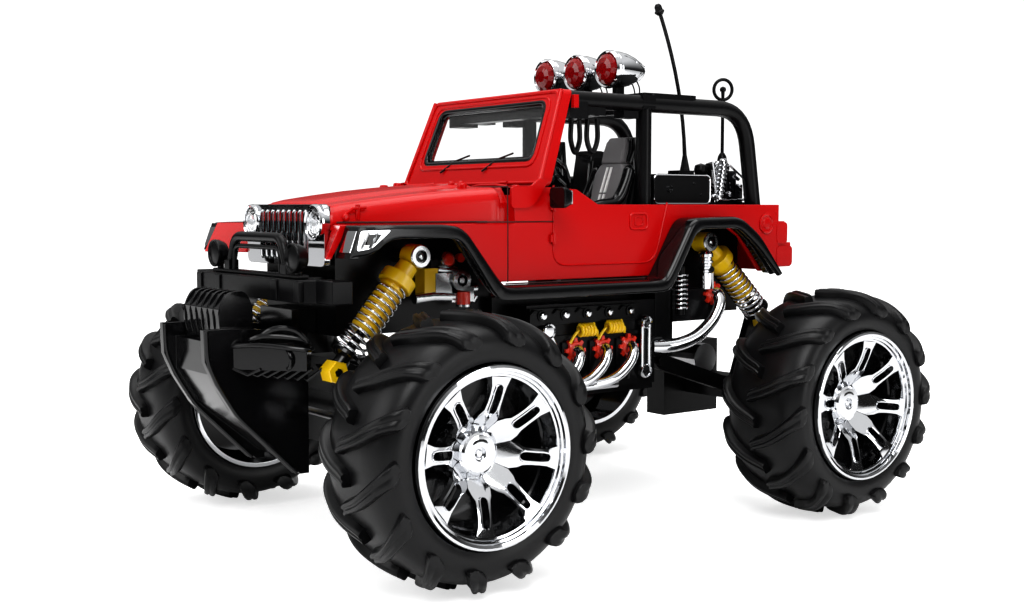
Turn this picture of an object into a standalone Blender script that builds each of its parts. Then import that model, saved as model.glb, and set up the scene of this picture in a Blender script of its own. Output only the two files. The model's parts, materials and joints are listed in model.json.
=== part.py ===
"""Remote control monster truck, about 1:12, built from separate named parts. Metres, +Z up, nose
towards -Y.

The origin is under the middle of the truck's footprint, on the ground. Heights are measured up from the
wheel axles (AXLE_Z) and lengths from the nearer axle, so a longer wheelbase stretches only the middle.
"""

import math

import bmesh
import bpy
from mathutils import Matrix, Vector

mm = 0.001

# Driving dimensions
TYRE_RADIUS = 65 * mm
TYRE_WIDTH = 58.5 * mm
WHEELBASE = 256.7 * mm
BODY_HALF = 68 * mm  # half the width of the tub's sides
FLARE_WIDTH = 16 * mm  # the black wheel arch trim stands this far out of the tub
RIM_RADIUS = 42.2 * mm
WALL = 2.5 * mm
GAP = 0.35 * mm  # between parts that seat on each other
TYRE_GAP = 5 * mm  # between the arch trim and the tyre

# Wheels
RIM_WALL = 1.8 * mm
DISH_DEPTH = 20.5 * mm
SPOKES = 8
HUB_RADIUS = 11 * mm
HUB_LENGTH = 22 * mm
SHAFT_RADIUS = 3 * mm
WHEEL_SEGMENTS = 24

# Suspension
SHOCK_LENGTH = 72 * mm  # eye to eye, hanging
SHOCK_X = 56 * mm
SHOCK_TOP = {-1: (14.4 * mm, 87 * mm), 1: (39.4 * mm, 91 * mm)}  # upper eye, inboard of and above its axle
SHOCK_LEAN = {-1: math.radians(50), 1: math.radians(43)}
SHOCK_EYE_RADIUS = 5.5 * mm
SHOCK_EYE_WIDTH = 10 * mm
PIN_RADIUS = 1.6 * mm
EYE_BORE = 2.5 * mm
SHOCK_BODY_RADIUS = 5.6 * mm
SHOCK_CAP_RADIUS = 8.8 * mm
ROD_RADIUS = 2.6 * mm
SPRING_RADIUS = 8 * mm
SPRING_WIRE = 1 * mm
ARM_X = 40 * mm
ARM_THICK = 6 * mm
PIVOT_RADIUS = 2.5 * mm

# Steering
KINGPIN_INSET = 15 * mm  # from the tyre's inner face to the kingpin
KNUCKLE_HALF = 9.5 * mm
TRUNNION_RADIUS = 2.5 * mm
STEER_ARM = 17 * mm

# Drive
MODULE = 0.9 * mm
GEAR_TEETH = 36
PINION_TEETH = 12
GEAR_WIDTH = 5 * mm
MOTOR_RADIUS = 9.5 * mm
MOTOR_LENGTH = 24 * mm
MESH_ANGLE = math.radians(128)

# Chassis
TRAY_HALF = 45 * mm
TRAY_BELOW = 5 * mm  # from the axle height up to the tray's underside
TRAY_HEIGHT = 58 * mm
BLOCK_DEPTH = 15 * mm  # the dummy engine stands this far out of the tray
TOWER_HALF = 38 * mm
DOOR_LENGTH = 63 * mm
DOOR_HALF = 23.5 * mm
DOOR_THICK = 2 * mm
HEADER_PITCH = 19.4 * mm  # between the exhaust's header pipes
HEADER_Y = 5 * mm  # the middle header pipe
COLLECTOR_Y = (-49 * mm, 18 * mm)  # ends of the pipe that joins them

# Body heights above the axles
SILL_UP = 73 * mm
BELT_UP = 113 * mm
FENDER_UP = 103 * mm
COWL_UP = 122 * mm
HOOD_NOSE_UP = 112 * mm
ROOF_UP = 175 * mm
FLOOR_UP = 102 * mm
HOOD_NOSE_HALF = 44 * mm
HOOD_REAR_HALF = 62 * mm
FRAME_TOP_HALF = 61.6 * mm
CAGE_TUBE = 4.8 * mm
LAMP_PITCH = 29.2 * mm
LAMP_RADIUS = 11 * mm

# Worked out from the above
AXLE_Z = TYRE_RADIUS
FRONT_Y = -WHEELBASE / 2
REAR_Y = WHEELBASE / 2
FLARE_HALF = BODY_HALF + FLARE_WIDTH
TYRE_IN = FLARE_HALF + TYRE_GAP
TYRE_OUT = TYRE_IN + TYRE_WIDTH
KINGPIN_X = TYRE_IN - KINGPIN_INSET
SPIDER_OUT = TYRE_OUT - DISH_DEPTH
TRAY_Z = AXLE_Z + TRAY_BELOW
TRAY_END = WHEELBASE / 2 - 70 * mm
BLOCK_HALF = TRAY_HALF + BLOCK_DEPTH
PIVOT_Y = TRAY_END + 8 * mm
PIVOT_Z = AXLE_Z + 20 * mm
BELT_Z = AXLE_Z + BELT_UP
SILL_Z = AXLE_Z + SILL_UP
FENDER_Z = AXLE_Z + FENDER_UP
COWL_Z = AXLE_Z + COWL_UP
ROOF_Z = AXLE_Z + ROOF_UP
FLOOR_Z = AXLE_Z + FLOOR_UP
HOOD_NOSE_Y = FRONT_Y - 26.5 * mm
TAIL_Y = REAR_Y + 12.5 * mm
DASH_Y = FRONT_Y + 68 * mm  # the hood's rear edge
BUMPER_Z = AXLE_Z + 77 * mm
SKID_NOSE_Y = FRONT_Y - 86.5 * mm
FRAME_SHIFT_Y = -(SKID_NOSE_Y + REAR_Y + TYRE_RADIUS) / 2  # puts the origin mid-length

SHARP_ANGLE = math.radians(35)
COLOURS = {  # base colour, roughness, metallic
    "red_paint": ((0.62, 0.005, 0.008), 0.25, 0.0),
    "black_plastic": ((0.02, 0.02, 0.022), 0.45, 0.0),
    "tyre_rubber": ((0.018, 0.018, 0.018), 0.8, 0.0),
    "chrome": ((0.82, 0.83, 0.85), 0.08, 1.0),
    "yellow_plastic": ((0.85, 0.56, 0.02), 0.4, 0.0),
    "seat_grey": ((0.12, 0.115, 0.12), 0.6, 0.0),
    "clear": ((0.9, 0.92, 0.95), 0.05, 0.0),
    "red_lens": ((0.55, 0.0, 0.01), 0.1, 0.0),
    "steel": ((0.6, 0.6, 0.62), 0.3, 1.0),
    "green_board": ((0.02, 0.16, 0.05), 0.5, 0.0),
    "blue_wrap": ((0.03, 0.09, 0.4), 0.45, 0.0),
}


def material(name):
    made = bpy.data.materials.get(name)
    if made is None:
        made = bpy.data.materials.new(name)
        made.use_nodes = True
        shader = made.node_tree.nodes["Principled BSDF"]
        colour, roughness, metallic = COLOURS[name]
        shader.inputs["Base Color"].default_value = (*colour, 1)
        shader.inputs["Roughness"].default_value = roughness
        shader.inputs["Metallic"].default_value = metallic
    return made


def new_object(name, mesh_data, finish="black_plastic"):
    made = bpy.data.objects.new(name, mesh_data)
    made.data.materials.append(material(finish))
    bpy.context.scene.collection.objects.link(made)
    made.parent = truck
    return made


def from_bmesh(name, shape, finish):
    bmesh.ops.recalc_face_normals(shape, faces=shape.faces)
    data = bpy.data.meshes.new(name)
    shape.to_mesh(data)
    shape.free()
    data.shade_smooth()
    data.set_sharp_from_angle(angle=SHARP_ANGLE)
    return new_object(name, data, finish)


def hang_on(made, x, y, z):
    """Puts an object's origin at a point, such as on its joint's axis, without moving its shape."""
    made.data.transform(Matrix.Translation((-x, -y, -z)))
    made.location = (x, y, z)
    return made


def helper_name(base):
    return f"helper_{base}_{len(bpy.data.objects)}"


def block(name, low, high, finish="black_plastic"):
    """A box between two corners."""
    shape = bmesh.new()
    middle = [(a + b) / 2 for a, b in zip(low, high)]
    size = [b - a for a, b in zip(low, high)]
    place = Matrix.Translation(middle) @ Matrix.Diagonal((*size, 1))
    bmesh.ops.create_cube(shape, size=1, matrix=place)
    return from_bmesh(name, shape, finish)


def along(axis, u, v, w):
    """A point from in-plane coordinates u, v and w along the axis. In X planes u, v are Y, Z."""
    return {"X": (w, u, v), "Y": (u, w, v), "Z": (u, v, w)}[axis]


def prism(name, outline, axis, low, high, finish="black_plastic"):
    """An outline drawn across the axis and extruded along it."""
    shape = bmesh.new()
    face = shape.faces.new([shape.verts.new(along(axis, u, v, low)) for u, v in outline])
    moved = bmesh.ops.extrude_face_region(shape, geom=[face])["geom"]
    step = Vector(along(axis, 0, 0, high - low))
    bmesh.ops.translate(shape, verts=[v for v in moved if isinstance(v, bmesh.types.BMVert)], vec=step)
    return from_bmesh(name, shape, finish)


def loft(name, first, second, finish="black_plastic"):
    """A solid between two outlines with the same number of 3-D points."""
    shape = bmesh.new()
    a = [shape.verts.new(p) for p in first]
    b = [shape.verts.new(p) for p in second]
    shape.faces.new(a)
    shape.faces.new(b)
    for i in range(len(a)):
        j = (i + 1) % len(a)
        shape.faces.new((a[i], a[j], b[j], b[i]))
    return from_bmesh(name, shape, finish)


def turned(name, profile, axis, centre, finish="black_plastic", segments=16, closed=False):
    """A profile of (radius, position along the axis) turned about it. A closed profile makes a ring."""
    shape = bmesh.new()
    turns = [2 * math.pi * i / segments - math.pi / 2 for i in range(segments)]
    rings = []
    for radius, reach in profile:
        if radius < 1e-9:
            rings.append([shape.verts.new(Vector(along(axis, 0, 0, reach)))])
        else:
            points = [along(axis, radius * math.cos(t), radius * math.sin(t), reach) for t in turns]
            rings.append([shape.verts.new(p) for p in points])
    pairs = list(zip(rings, rings[1:] + rings[:1])) if closed else list(zip(rings, rings[1:]))
    for one, two in pairs:
        for i in range(segments):
            j = (i + 1) % segments
            corners = [one[i % len(one)], one[j % len(one)], two[j % len(two)], two[i % len(two)]]
            shape.faces.new(list(dict.fromkeys(corners)))
    if not closed:
        for ring in (rings[0], rings[-1]):
            if len(ring) > 1:
                shape.faces.new(ring)
    bmesh.ops.translate(shape, verts=shape.verts, vec=centre)
    return from_bmesh(name, shape, finish)


def rod(name, radius, axis, low, high, centre, finish="black_plastic", segments=12):
    """A round bar along an axis, from low to high along it."""
    return turned(name, [(radius, low), (radius, high)], axis, centre, finish, segments)


def sweep(name, path, radius, finish="black_plastic", sides=8, ring=False):
    """A round tube of one radius, or a list of radii, along a path of points."""
    shape = bmesh.new()
    points = [Vector(p) for p in path]
    radii = radius if isinstance(radius, list) else [radius] * len(points)
    count = len(points)
    side = None
    rings = []
    for i, point in enumerate(points):
        before = points[i - 1] if i or ring else point
        after = points[(i + 1) % count] if i + 1 < count or ring else point
        ahead = (after - before).normalized()
        if side is None:
            side = ahead.orthogonal().normalized()
        side = (side - ahead * side.dot(ahead)).normalized()
        up = ahead.cross(side)
        turns = [2 * math.pi * k / sides for k in range(sides)]
        spread = [point + (side * math.cos(t) + up * math.sin(t)) * radii[i] for t in turns]
        rings.append([shape.verts.new(p) for p in spread])
    for one, two in zip(rings, rings[1:] + rings[:1]) if ring else zip(rings, rings[1:]):
        for k in range(sides):
            j = (k + 1) % sides
            shape.faces.new((one[k], one[j], two[j], two[k]))
    if not ring:
        shape.faces.new(rings[0])
        shape.faces.new(rings[-1])
    return from_bmesh(name, shape, finish)


def combine(target, tools, operation):
    for tool in tools:
        tool.hide_render = True
        tool.display_type = "WIRE"
        step = target.modifiers.new(operation.title(), "BOOLEAN")
        step.operation = operation
        step.solver = "EXACT"
        step.object = tool
    return target


def fuse(target, *tools):
    return combine(target, tools, "UNION")


def cut(target, *tools):
    return combine(target, tools, "DIFFERENCE")


def star(inner, outer, root_half, tip_half, count):
    """Outline of a hub with straight arms, such as a wheel's spokes."""
    points = []
    for i in range(count):
        middle = 2 * math.pi * i / count + math.pi / 2
        for reach, half in ((inner, -root_half), (outer, -tip_half), (outer, tip_half), (inner, root_half)):
            spread = math.atan2(half, reach)
            far = math.hypot(reach, half)
            points.append((far * math.cos(middle + spread), far * math.sin(middle + spread)))
    return points


def gear_outline(teeth, turn, centre):
    """Trapezoid teeth, thinned so that the pair runs with backlash."""
    pitch = MODULE * teeth / 2
    outer = pitch + 0.62 * MODULE
    root = pitch - 0.85 * MODULE
    step = 2 * math.pi / teeth
    points = []
    for i in range(teeth):
        for radius, share in ((root, -0.3), (outer, -0.1), (outer, 0.1), (root, 0.3)):
            a = step * (i + share) + turn
            points.append((centre[0] + radius * math.cos(a), centre[1] + radius * math.sin(a)))
    return points


def shift(outline, du, dv):
    return [(u + du, v + dv) for u, v in outline]


# ---------------------------------------------------------------- wheels

def tyre(name, side, y):
    """A hollow tyre, open towards the rim."""
    bead = RIM_RADIUS + GAP
    crown = TYRE_RADIUS
    skin = 3.2 * mm
    lip = 3 * mm
    bulge = bead + (crown - bead) * 0.3
    shoulder = bead + (crown - bead) * 0.78
    outer = TYRE_WIDTH
    soft = TYRE_WIDTH * 0.19
    profile = [
        (bead, 1.2 * mm), (bulge, 0), (shoulder, soft * 0.38), (crown, soft),
        (crown, outer - soft), (shoulder, outer - soft * 0.38), (bulge, outer), (bead, outer - 1.2 * mm),
        (bead, outer - lip - 1.2 * mm), (crown - skin, outer - soft - skin * 0.4),
        (crown - skin, soft + skin * 0.4), (bead, lip + 1.2 * mm),
    ]
    laid = [(r, side * (TYRE_IN + x)) for r, x in profile]
    made = turned(name, laid, "X", (0, y, AXLE_Z), "tyre_rubber", WHEEL_SEGMENTS, closed=True)
    return hang_on(made, side * TYRE_IN, y, AXLE_Z)


def rim(name, side, y):
    """A deep dished rim: barrel, spoke spider and hub with a blind bore for the axle end."""
    inside = RIM_RADIUS - RIM_WALL
    back = TYRE_IN + 2 * mm
    thick = 6 * mm
    barrel = [(RIM_RADIUS, back), (RIM_RADIUS, TYRE_OUT), (inside, TYRE_OUT), (inside, back)]
    barrel = [(r, side * x) for r, x in barrel]
    made = turned(name, barrel, "X", (0, y, AXLE_Z), "chrome", WHEEL_SEGMENTS, closed=True)
    arms = star(HUB_RADIUS * 1.3, inside + RIM_WALL / 2, 4.5 * mm, 3 * mm, SPOKES)
    low, high = sorted((side * (SPIDER_OUT - thick), side * SPIDER_OUT))
    spider = prism(helper_name(name), shift(arms, y, AXLE_Z), "X", low, high, "chrome")
    low, high = sorted((side * (SPIDER_OUT - HUB_LENGTH), side * (SPIDER_OUT + 1 * mm)))
    hub = rod(helper_name(name), HUB_RADIUS, "X", low, high, (0, y, AXLE_Z), "chrome")
    low, high = sorted((side * (SPIDER_OUT - HUB_LENGTH - 2 * mm), side * (SPIDER_OUT - 4 * mm)))
    bore = rod(helper_name(name), SHAFT_RADIUS + GAP, "X", low, high, (0, y, AXLE_Z), "chrome", 10)
    hang_on(made, side * TYRE_IN, y, AXLE_Z)
    return cut(fuse(made, spider, hub), bore)


# ---------------------------------------------------------------- shock absorbers

def shock_line(end):
    """Lower eye, upper eye (Y, Z) of a shock at the front (-1) or rear (1), and its unit direction
    upwards."""
    inboard, above = SHOCK_TOP[end]
    upper = Vector((end * (WHEELBASE / 2 - inboard), AXLE_Z + above))
    up = Vector((-end * math.cos(SHOCK_LEAN[end]), math.sin(SHOCK_LEAN[end])))
    return upper - up * SHOCK_LENGTH, upper, up


def shock_part(name, side, end, profile, finish, segments=10, closed=False):
    """A turned part on a shock's axis. The profile runs from the lower eye upwards."""
    lower, _, up = shock_line(end)
    made = turned(name, profile, "Z", (0, 0, 0), finish, segments, closed)
    turn = Matrix.Rotation(math.atan2(-up.x, up.y), 4, "X")
    made.data.transform(Matrix.Translation((side * SHOCK_X, lower.x, lower.y)) @ turn)
    return made


def shock_eye(name, side, centre, finish):
    half = SHOCK_EYE_WIDTH / 2
    place = (side * SHOCK_X, centre.x, centre.y)
    return rod(name, SHOCK_EYE_RADIUS, "X", -half, half, place, finish)


def eye_bore(side, centre):
    place = (side * SHOCK_X, centre.x, centre.y)
    return rod(helper_name("bore"), EYE_BORE, "X", -SHOCK_EYE_WIDTH, SHOCK_EYE_WIDTH, place, segments=10)


def shock(tag, side, end):
    lower, upper, _ = shock_line(end)
    top_axis = (side * SHOCK_X, upper.x, upper.y)
    low_axis = (side * SHOCK_X, lower.x, lower.y)
    seat = 11 * mm  # height of the lower spring seat above the lower eye
    cap = SHOCK_LENGTH - 19 * mm  # underside of the cap
    body_low = 27 * mm
    body = shock_part(f"shock_body_{tag}", side, end,
        [(SHOCK_BODY_RADIUS, body_low), (SHOCK_BODY_RADIUS, cap), (SHOCK_CAP_RADIUS, cap),
         (SHOCK_CAP_RADIUS, cap + 8 * mm), (4.5 * mm, cap + 10 * mm), (4.5 * mm, SHOCK_LENGTH - 2 * mm)],
        "yellow_plastic")
    barrel = shock_part(helper_name("barrel"), side, end,
        [(ROD_RADIUS + GAP, body_low - 2 * mm), (ROD_RADIUS + GAP, cap)], "yellow_plastic")
    hang_on(body, *top_axis)
    cut(
        fuse(body, shock_eye(helper_name("eye"), side, upper, "yellow_plastic")), barrel,
        eye_bore(side, upper))
    piston = shock_part(f"shock_rod_{tag}", side, end,
        [(ROD_RADIUS + 1.2 * mm, 2 * mm), (ROD_RADIUS + 1.2 * mm, seat - 2 * mm),
         (SPRING_RADIUS, seat - 2 * mm),
         (SPRING_RADIUS, seat), (ROD_RADIUS, seat), (ROD_RADIUS, body_low + 8 * mm)], "yellow_plastic")
    hang_on(piston, *low_axis)
    cut(fuse(piston, shock_eye(helper_name("eye"), side, lower, "yellow_plastic")), eye_bore(side, lower))
    inner = SPRING_RADIUS - SPRING_WIRE
    spring = shock_part(f"spring_{tag}", side, end,
        [(SPRING_RADIUS, seat + GAP), (SPRING_RADIUS, cap - GAP), (inner, cap - GAP), (inner, seat + GAP)],
        "chrome", closed=True)
    hang_on(spring, *top_axis)


# ---------------------------------------------------------------- axles

def arm_parts(end):
    """Trailing arms from an axle to its pivot, and the bores of their eyes."""
    solids, bores = [], []
    axle_y = end * WHEELBASE / 2
    pivot_y = end * PIVOT_Y
    for side in (-1, 1):
        low, high = sorted((side * (ARM_X - ARM_THICK / 2), side * (ARM_X + ARM_THICK / 2)))
        outline = [
            (axle_y - end * 2 * mm, AXLE_Z - 4 * mm), (axle_y - end * 2 * mm, AXLE_Z + 5 * mm),
            (pivot_y, PIVOT_Z + 5 * mm), (pivot_y - end * 5 * mm, PIVOT_Z),
            (pivot_y, PIVOT_Z - 5 * mm),
        ]
        solids.append(prism(helper_name("arm"), outline, "X", low, high))
        bores.append(
            rod(
                helper_name("arm_bore"), PIVOT_RADIUS + GAP, "X", low - mm, high + mm,
                (0, pivot_y, PIVOT_Z)))
    return solids, bores


def shock_brackets(end):
    """Plates on an axle that carry the shocks' lower pins."""
    solids = []
    lower, _, _ = shock_line(end)
    axle_y = end * WHEELBASE / 2
    inner = SHOCK_X - SHOCK_EYE_WIDTH / 2 - 7 * mm
    for side in (-1, 1):
        low, high = sorted((side * inner, side * (inner + 5 * mm)))
        outline = [
            (axle_y - 7 * mm, AXLE_Z), (axle_y + 7 * mm, AXLE_Z),
            (lower.x + 4 * mm, lower.y + 3 * mm), (lower.x - 4 * mm, lower.y + 3 * mm),
        ]
        solids.append(prism(helper_name("bracket"), outline, "X", low, high))
        low, high = sorted((side * (inner + 2 * mm), side * (SHOCK_X + SHOCK_EYE_WIDTH / 2 + 1 * mm)))
        solids.append(rod(helper_name("pin"), PIN_RADIUS, "X", low, high, (0, lower.x, lower.y)))
    return solids


def front_axle():
    half = KINGPIN_X - 11 * mm
    ear = 4 * mm
    beam = block(
        "front_axle_beam", (-half, FRONT_Y - 7 * mm, AXLE_Z - 14 * mm),
        (half, FRONT_Y + 7 * mm, AXLE_Z + 14 * mm))
    holes = []
    for side in (-1, 1):
        for up in (-1, 1):
            xs = sorted((side * (half - 4 * mm), side * (KINGPIN_X + 6 * mm)))
            zs = sorted(
                (AXLE_Z + up * (KNUCKLE_HALF + 0.5 * mm), AXLE_Z + up * (KNUCKLE_HALF + 0.5 * mm + ear)))
            fuse(
                beam,
                block(
                    helper_name("ear"), (xs[0], FRONT_Y - 6 * mm, zs[0]),
                    (xs[1], FRONT_Y + 6 * mm, zs[1])))
        reach = KNUCKLE_HALF + ear + 3 * mm
        holes.append(rod(helper_name("kingpin_hole"), TRUNNION_RADIUS + 0.5 * mm, "Z",
                         AXLE_Z - reach, AXLE_Z + reach,
                         (side * KINGPIN_X, FRONT_Y, 0)))
    hang_on(beam, 0, -PIVOT_Y, PIVOT_Z)
    arms, bores = arm_parts(-1)
    fuse(beam, *arms, *shock_brackets(-1))
    cut(beam, *holes, *bores)
    servo_z = AXLE_Z + 14 * mm + GAP
    block(
        "steering_servo", (-18 * mm, FRONT_Y - 8 * mm, servo_z),
        (18 * mm, FRONT_Y + 14 * mm, servo_z + 18 * mm))


def knuckle(name, side):
    """Steering knuckle with its trunnions, steering arm and stub axle."""
    place = (side * KINGPIN_X, FRONT_Y, 0)
    made = rod(name, 8 * mm, "Z", AXLE_Z - KNUCKLE_HALF, AXLE_Z + KNUCKLE_HALF, place)
    hang_on(made, side * KINGPIN_X, FRONT_Y, AXLE_Z)
    reach = KNUCKLE_HALF + 4 * mm
    trunnion = rod(helper_name("trunnion"), TRUNNION_RADIUS, "Z", AXLE_Z - reach, AXLE_Z + reach, place)
    low, high = sorted((side * (KINGPIN_X + 3 * mm), side * (SPIDER_OUT - 5 * mm)))
    stub = rod(helper_name("stub"), SHAFT_RADIUS, "X", low, high, (0, FRONT_Y, AXLE_Z))
    x = side * KINGPIN_X
    arm = block(
        helper_name("steer_arm"), (x - 3 * mm, FRONT_Y - STEER_ARM - 3 * mm, AXLE_Z - 2 * mm),
        (x + 3 * mm, FRONT_Y, AXLE_Z + 2 * mm))
    return fuse(made, trunnion, stub, arm)


def tie_rod():
    """Joins the steering arms. It lies just over them, so each end has play."""
    y, z = FRONT_Y - STEER_ARM, AXLE_Z + 5 * mm
    bar = hang_on(rod("tie_rod", 2 * mm, "X", -KINGPIN_X, KINGPIN_X, (0, y, z), "steel", 10), 0, y, z)
    for side in (-1, 1):
        end = rod(
            helper_name("rod_end"), 3.2 * mm, "Z", z - 2.5 * mm, z + 2.5 * mm, (side * KINGPIN_X, y, 0))
        fuse(bar, end)
    return bar


def pinion_centre():
    reach = MODULE * (GEAR_TEETH + PINION_TEETH) / 2 + 0.2 * mm
    return REAR_Y + reach * math.cos(MESH_ANGLE), AXLE_Z + reach * math.sin(MESH_ANGLE)


def rear_axle():
    half = TYRE_IN - 14 * mm
    room = MODULE * GEAR_TEETH / 2 + 2.5 * mm
    slot_half = GEAR_WIDTH / 2 + 2 * mm
    box_half = slot_half + 3.5 * mm
    mid_y, mid_z = pinion_centre()
    front = mid_y - 9 * mm
    housing = block(
        "rear_axle_housing", (-half, REAR_Y - 7 * mm, AXLE_Z - 7 * mm),
        (half, REAR_Y + 7 * mm, AXLE_Z + 7 * mm))
    case = block(
        helper_name("case"), (-box_half, front - 3 * mm, AXLE_Z - room - 2 * mm),
        (box_half, REAR_Y + room + 3 * mm, AXLE_Z + 26 * mm))
    slot = block(
        helper_name("slot"), (-slot_half, front, AXLE_Z - room),
        (slot_half, REAR_Y + room, AXLE_Z + 40 * mm))
    bore = rod(
        helper_name("shaft_bore"), SHAFT_RADIUS + 0.5 * mm, "X", -half - mm, half + mm,
        (0, REAR_Y, AXLE_Z), "black_plastic", 14)
    motor_hole = rod(helper_name("motor_hole"), 2.2 * mm, "X", 0, box_half + mm, (0, mid_y, mid_z))
    hang_on(housing, 0, PIVOT_Y, PIVOT_Z)
    arms, arm_bores = arm_parts(1)
    fuse(housing, case, *arms, *shock_brackets(1))
    cut(housing, slot, bore, motor_hole, *arm_bores)
    motor = rod(
        "drive_motor", MOTOR_RADIUS, "X", box_half + GAP, box_half + GAP + MOTOR_LENGTH,
        (0, mid_y, mid_z), "steel", 16)
    cut(motor, rod(helper_name("motor_bore"), 2.2 * mm, "X", 0, box_half + 8 * mm, (0, mid_y, mid_z)))
    face = GEAR_WIDTH / 2
    gear = prism("axle_shaft", gear_outline(GEAR_TEETH, 0, (REAR_Y, AXLE_Z)), "X", -face, face, "steel")
    hang_on(gear, 0, REAR_Y, AXLE_Z)
    shaft = rod(
        helper_name("shaft"), SHAFT_RADIUS, "X", -(SPIDER_OUT - 5 * mm), SPIDER_OUT - 5 * mm,
        (0, REAR_Y, AXLE_Z), "steel")
    fuse(gear, shaft)
    contact = MESH_ANGLE + math.pi
    gear_phase = (MESH_ANGLE / (2 * math.pi / GEAR_TEETH)) % 1
    step = 2 * math.pi / PINION_TEETH
    turn = contact + (0.5 + gear_phase) * step
    pinion = prism(
        "motor_pinion", gear_outline(PINION_TEETH, turn, (mid_y, mid_z)), "X", -face - mm, face + mm,
        "steel")
    hang_on(pinion, 0, mid_y, mid_z)
    fuse(
        pinion,
        rod(helper_name("motor_shaft"), 1.2 * mm, "X", 0, box_half + 6 * mm, (0, mid_y, mid_z), "steel"))


# ---------------------------------------------------------------- chassis

def pivot_mount(end):
    """Ears on the tray and the cross pin that an axle's arms swing on."""
    y = end * PIVOT_Y
    solids = [
        rod(helper_name("pivot"), PIVOT_RADIUS, "X", -(ARM_X + 5 * mm), ARM_X + 5 * mm, (0, y, PIVOT_Z))]
    for side in (-1, 1):
        xs = sorted((side * (ARM_X - 10 * mm), side * (ARM_X - 4 * mm)))
        ys = sorted((end * (TRAY_END - 2 * mm), y + end * 5 * mm))
        solids.append(
            block(
                helper_name("pivot_ear"), (xs[0], ys[0], PIVOT_Z - 5 * mm),
                (xs[1], ys[1], PIVOT_Z + 5 * mm)))
    return solids


def tower(end):
    """Hollow bridge over an axle that carries the shocks' upper pins. Returns solids and the hollow."""
    _, upper, _ = shock_line(end)
    reach = WHEELBASE / 2 + (21 * mm if end < 0 else 8 * mm)
    ys = sorted((end * (TRAY_END - 4 * mm), end * reach))
    base, top = AXLE_Z + 47 * mm, FLOOR_Z - 2 * mm
    solids = [block(helper_name("tower"), (-TOWER_HALF, ys[0], base), (TOWER_HALF, ys[1], top))]
    inner = sorted((end * (TRAY_END + 3 * mm), end * (reach - 3 * mm)))
    hollow = block(
        helper_name("tower_hollow"), (3 * mm - TOWER_HALF, inner[0], base - mm),
        (TOWER_HALF - 3 * mm, inner[1], top - 3 * mm))
    for side in (-1, 1):
        xs = sorted((side * (TOWER_HALF - 2 * mm), side * (SHOCK_X + SHOCK_EYE_WIDTH / 2 + 1 * mm)))
        solids.append(rod(helper_name("top_pin"), PIN_RADIUS, "X", *xs, (0, upper.x, upper.y)))
        boss = sorted((side * (TOWER_HALF - 2 * mm), side * (SHOCK_X - SHOCK_EYE_WIDTH / 2 - 1 * mm)))
        solids.append(rod(helper_name("boss"), 4 * mm, "X", *boss, (0, upper.x, upper.y)))
    return solids, hollow


def chassis():
    """Tray with dummy engine blocks, the two towers, the axle pivots and the battery bay's opening."""
    top = TRAY_Z + TRAY_HEIGHT
    tray = block("chassis_tray", (-TRAY_HALF, -TRAY_END, TRAY_Z), (TRAY_HALF, TRAY_END, top))
    ends = TRAY_END - 12 * mm
    engine = block(
        helper_name("engine"), (-BLOCK_HALF, -ends, TRAY_Z + 6 * mm), (BLOCK_HALF, ends, top - 4 * mm))
    cavity = block(helper_name("cavity"), (3 * mm - TRAY_HALF, 3 * mm - TRAY_END, TRAY_Z + 6 * mm),
                   (TRAY_HALF - 3 * mm, TRAY_END - 3 * mm, top + 30 * mm))
    pocket = block(helper_name("pocket"), (3 * mm - BLOCK_HALF, 3 * mm - ends, TRAY_Z + 9 * mm),
                   (BLOCK_HALF - 3 * mm, ends - 3 * mm, top - 7 * mm))
    front, front_hollow = tower(-1)
    rear, rear_hollow = tower(1)
    hinge_y = -DOOR_LENGTH / 2 - 10 * mm
    bay = block(helper_name("bay"), (-DOOR_HALF - GAP, hinge_y - GAP, TRAY_Z - mm),
                (DOOR_HALF + GAP, hinge_y + DOOR_LENGTH + GAP, TRAY_Z + 8 * mm))
    slot = block(
        helper_name("switch_slot"), (-35 * mm, 24 * mm, TRAY_Z - mm),
        (-29 * mm, 38 * mm, TRAY_Z + 8 * mm))
    fuse(tray, engine, *front, *rear, *pivot_mount(-1), *pivot_mount(1))
    cut(tray, cavity, pocket, front_hollow, rear_hollow, bay, slot)
    door_z = TRAY_Z + 0.3 * mm
    door = block(
        "battery_door", (-DOOR_HALF, hinge_y, door_z),
        (DOOR_HALF, hinge_y + DOOR_LENGTH, door_z + DOOR_THICK))
    hang_on(door, 0, hinge_y, door_z)
    block("battery_pack", (-20 * mm, hinge_y + 4 * mm, TRAY_Z + 7 * mm),
          (20 * mm, hinge_y + DOOR_LENGTH - 4 * mm, TRAY_Z + 24 * mm), "blue_wrap")
    block(
        "circuit_board", (-34 * mm, 10 * mm - TRAY_END, TRAY_Z + 32 * mm),
        (34 * mm, TRAY_END - 10 * mm, TRAY_Z + 34 * mm), "green_board")
    switch = block(
        "power_switch", (-34 * mm, 25 * mm, TRAY_Z - 1.5 * mm), (-30 * mm, 31 * mm, TRAY_Z + 5 * mm))
    hang_on(switch, -32 * mm, 28 * mm, TRAY_Z)


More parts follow.
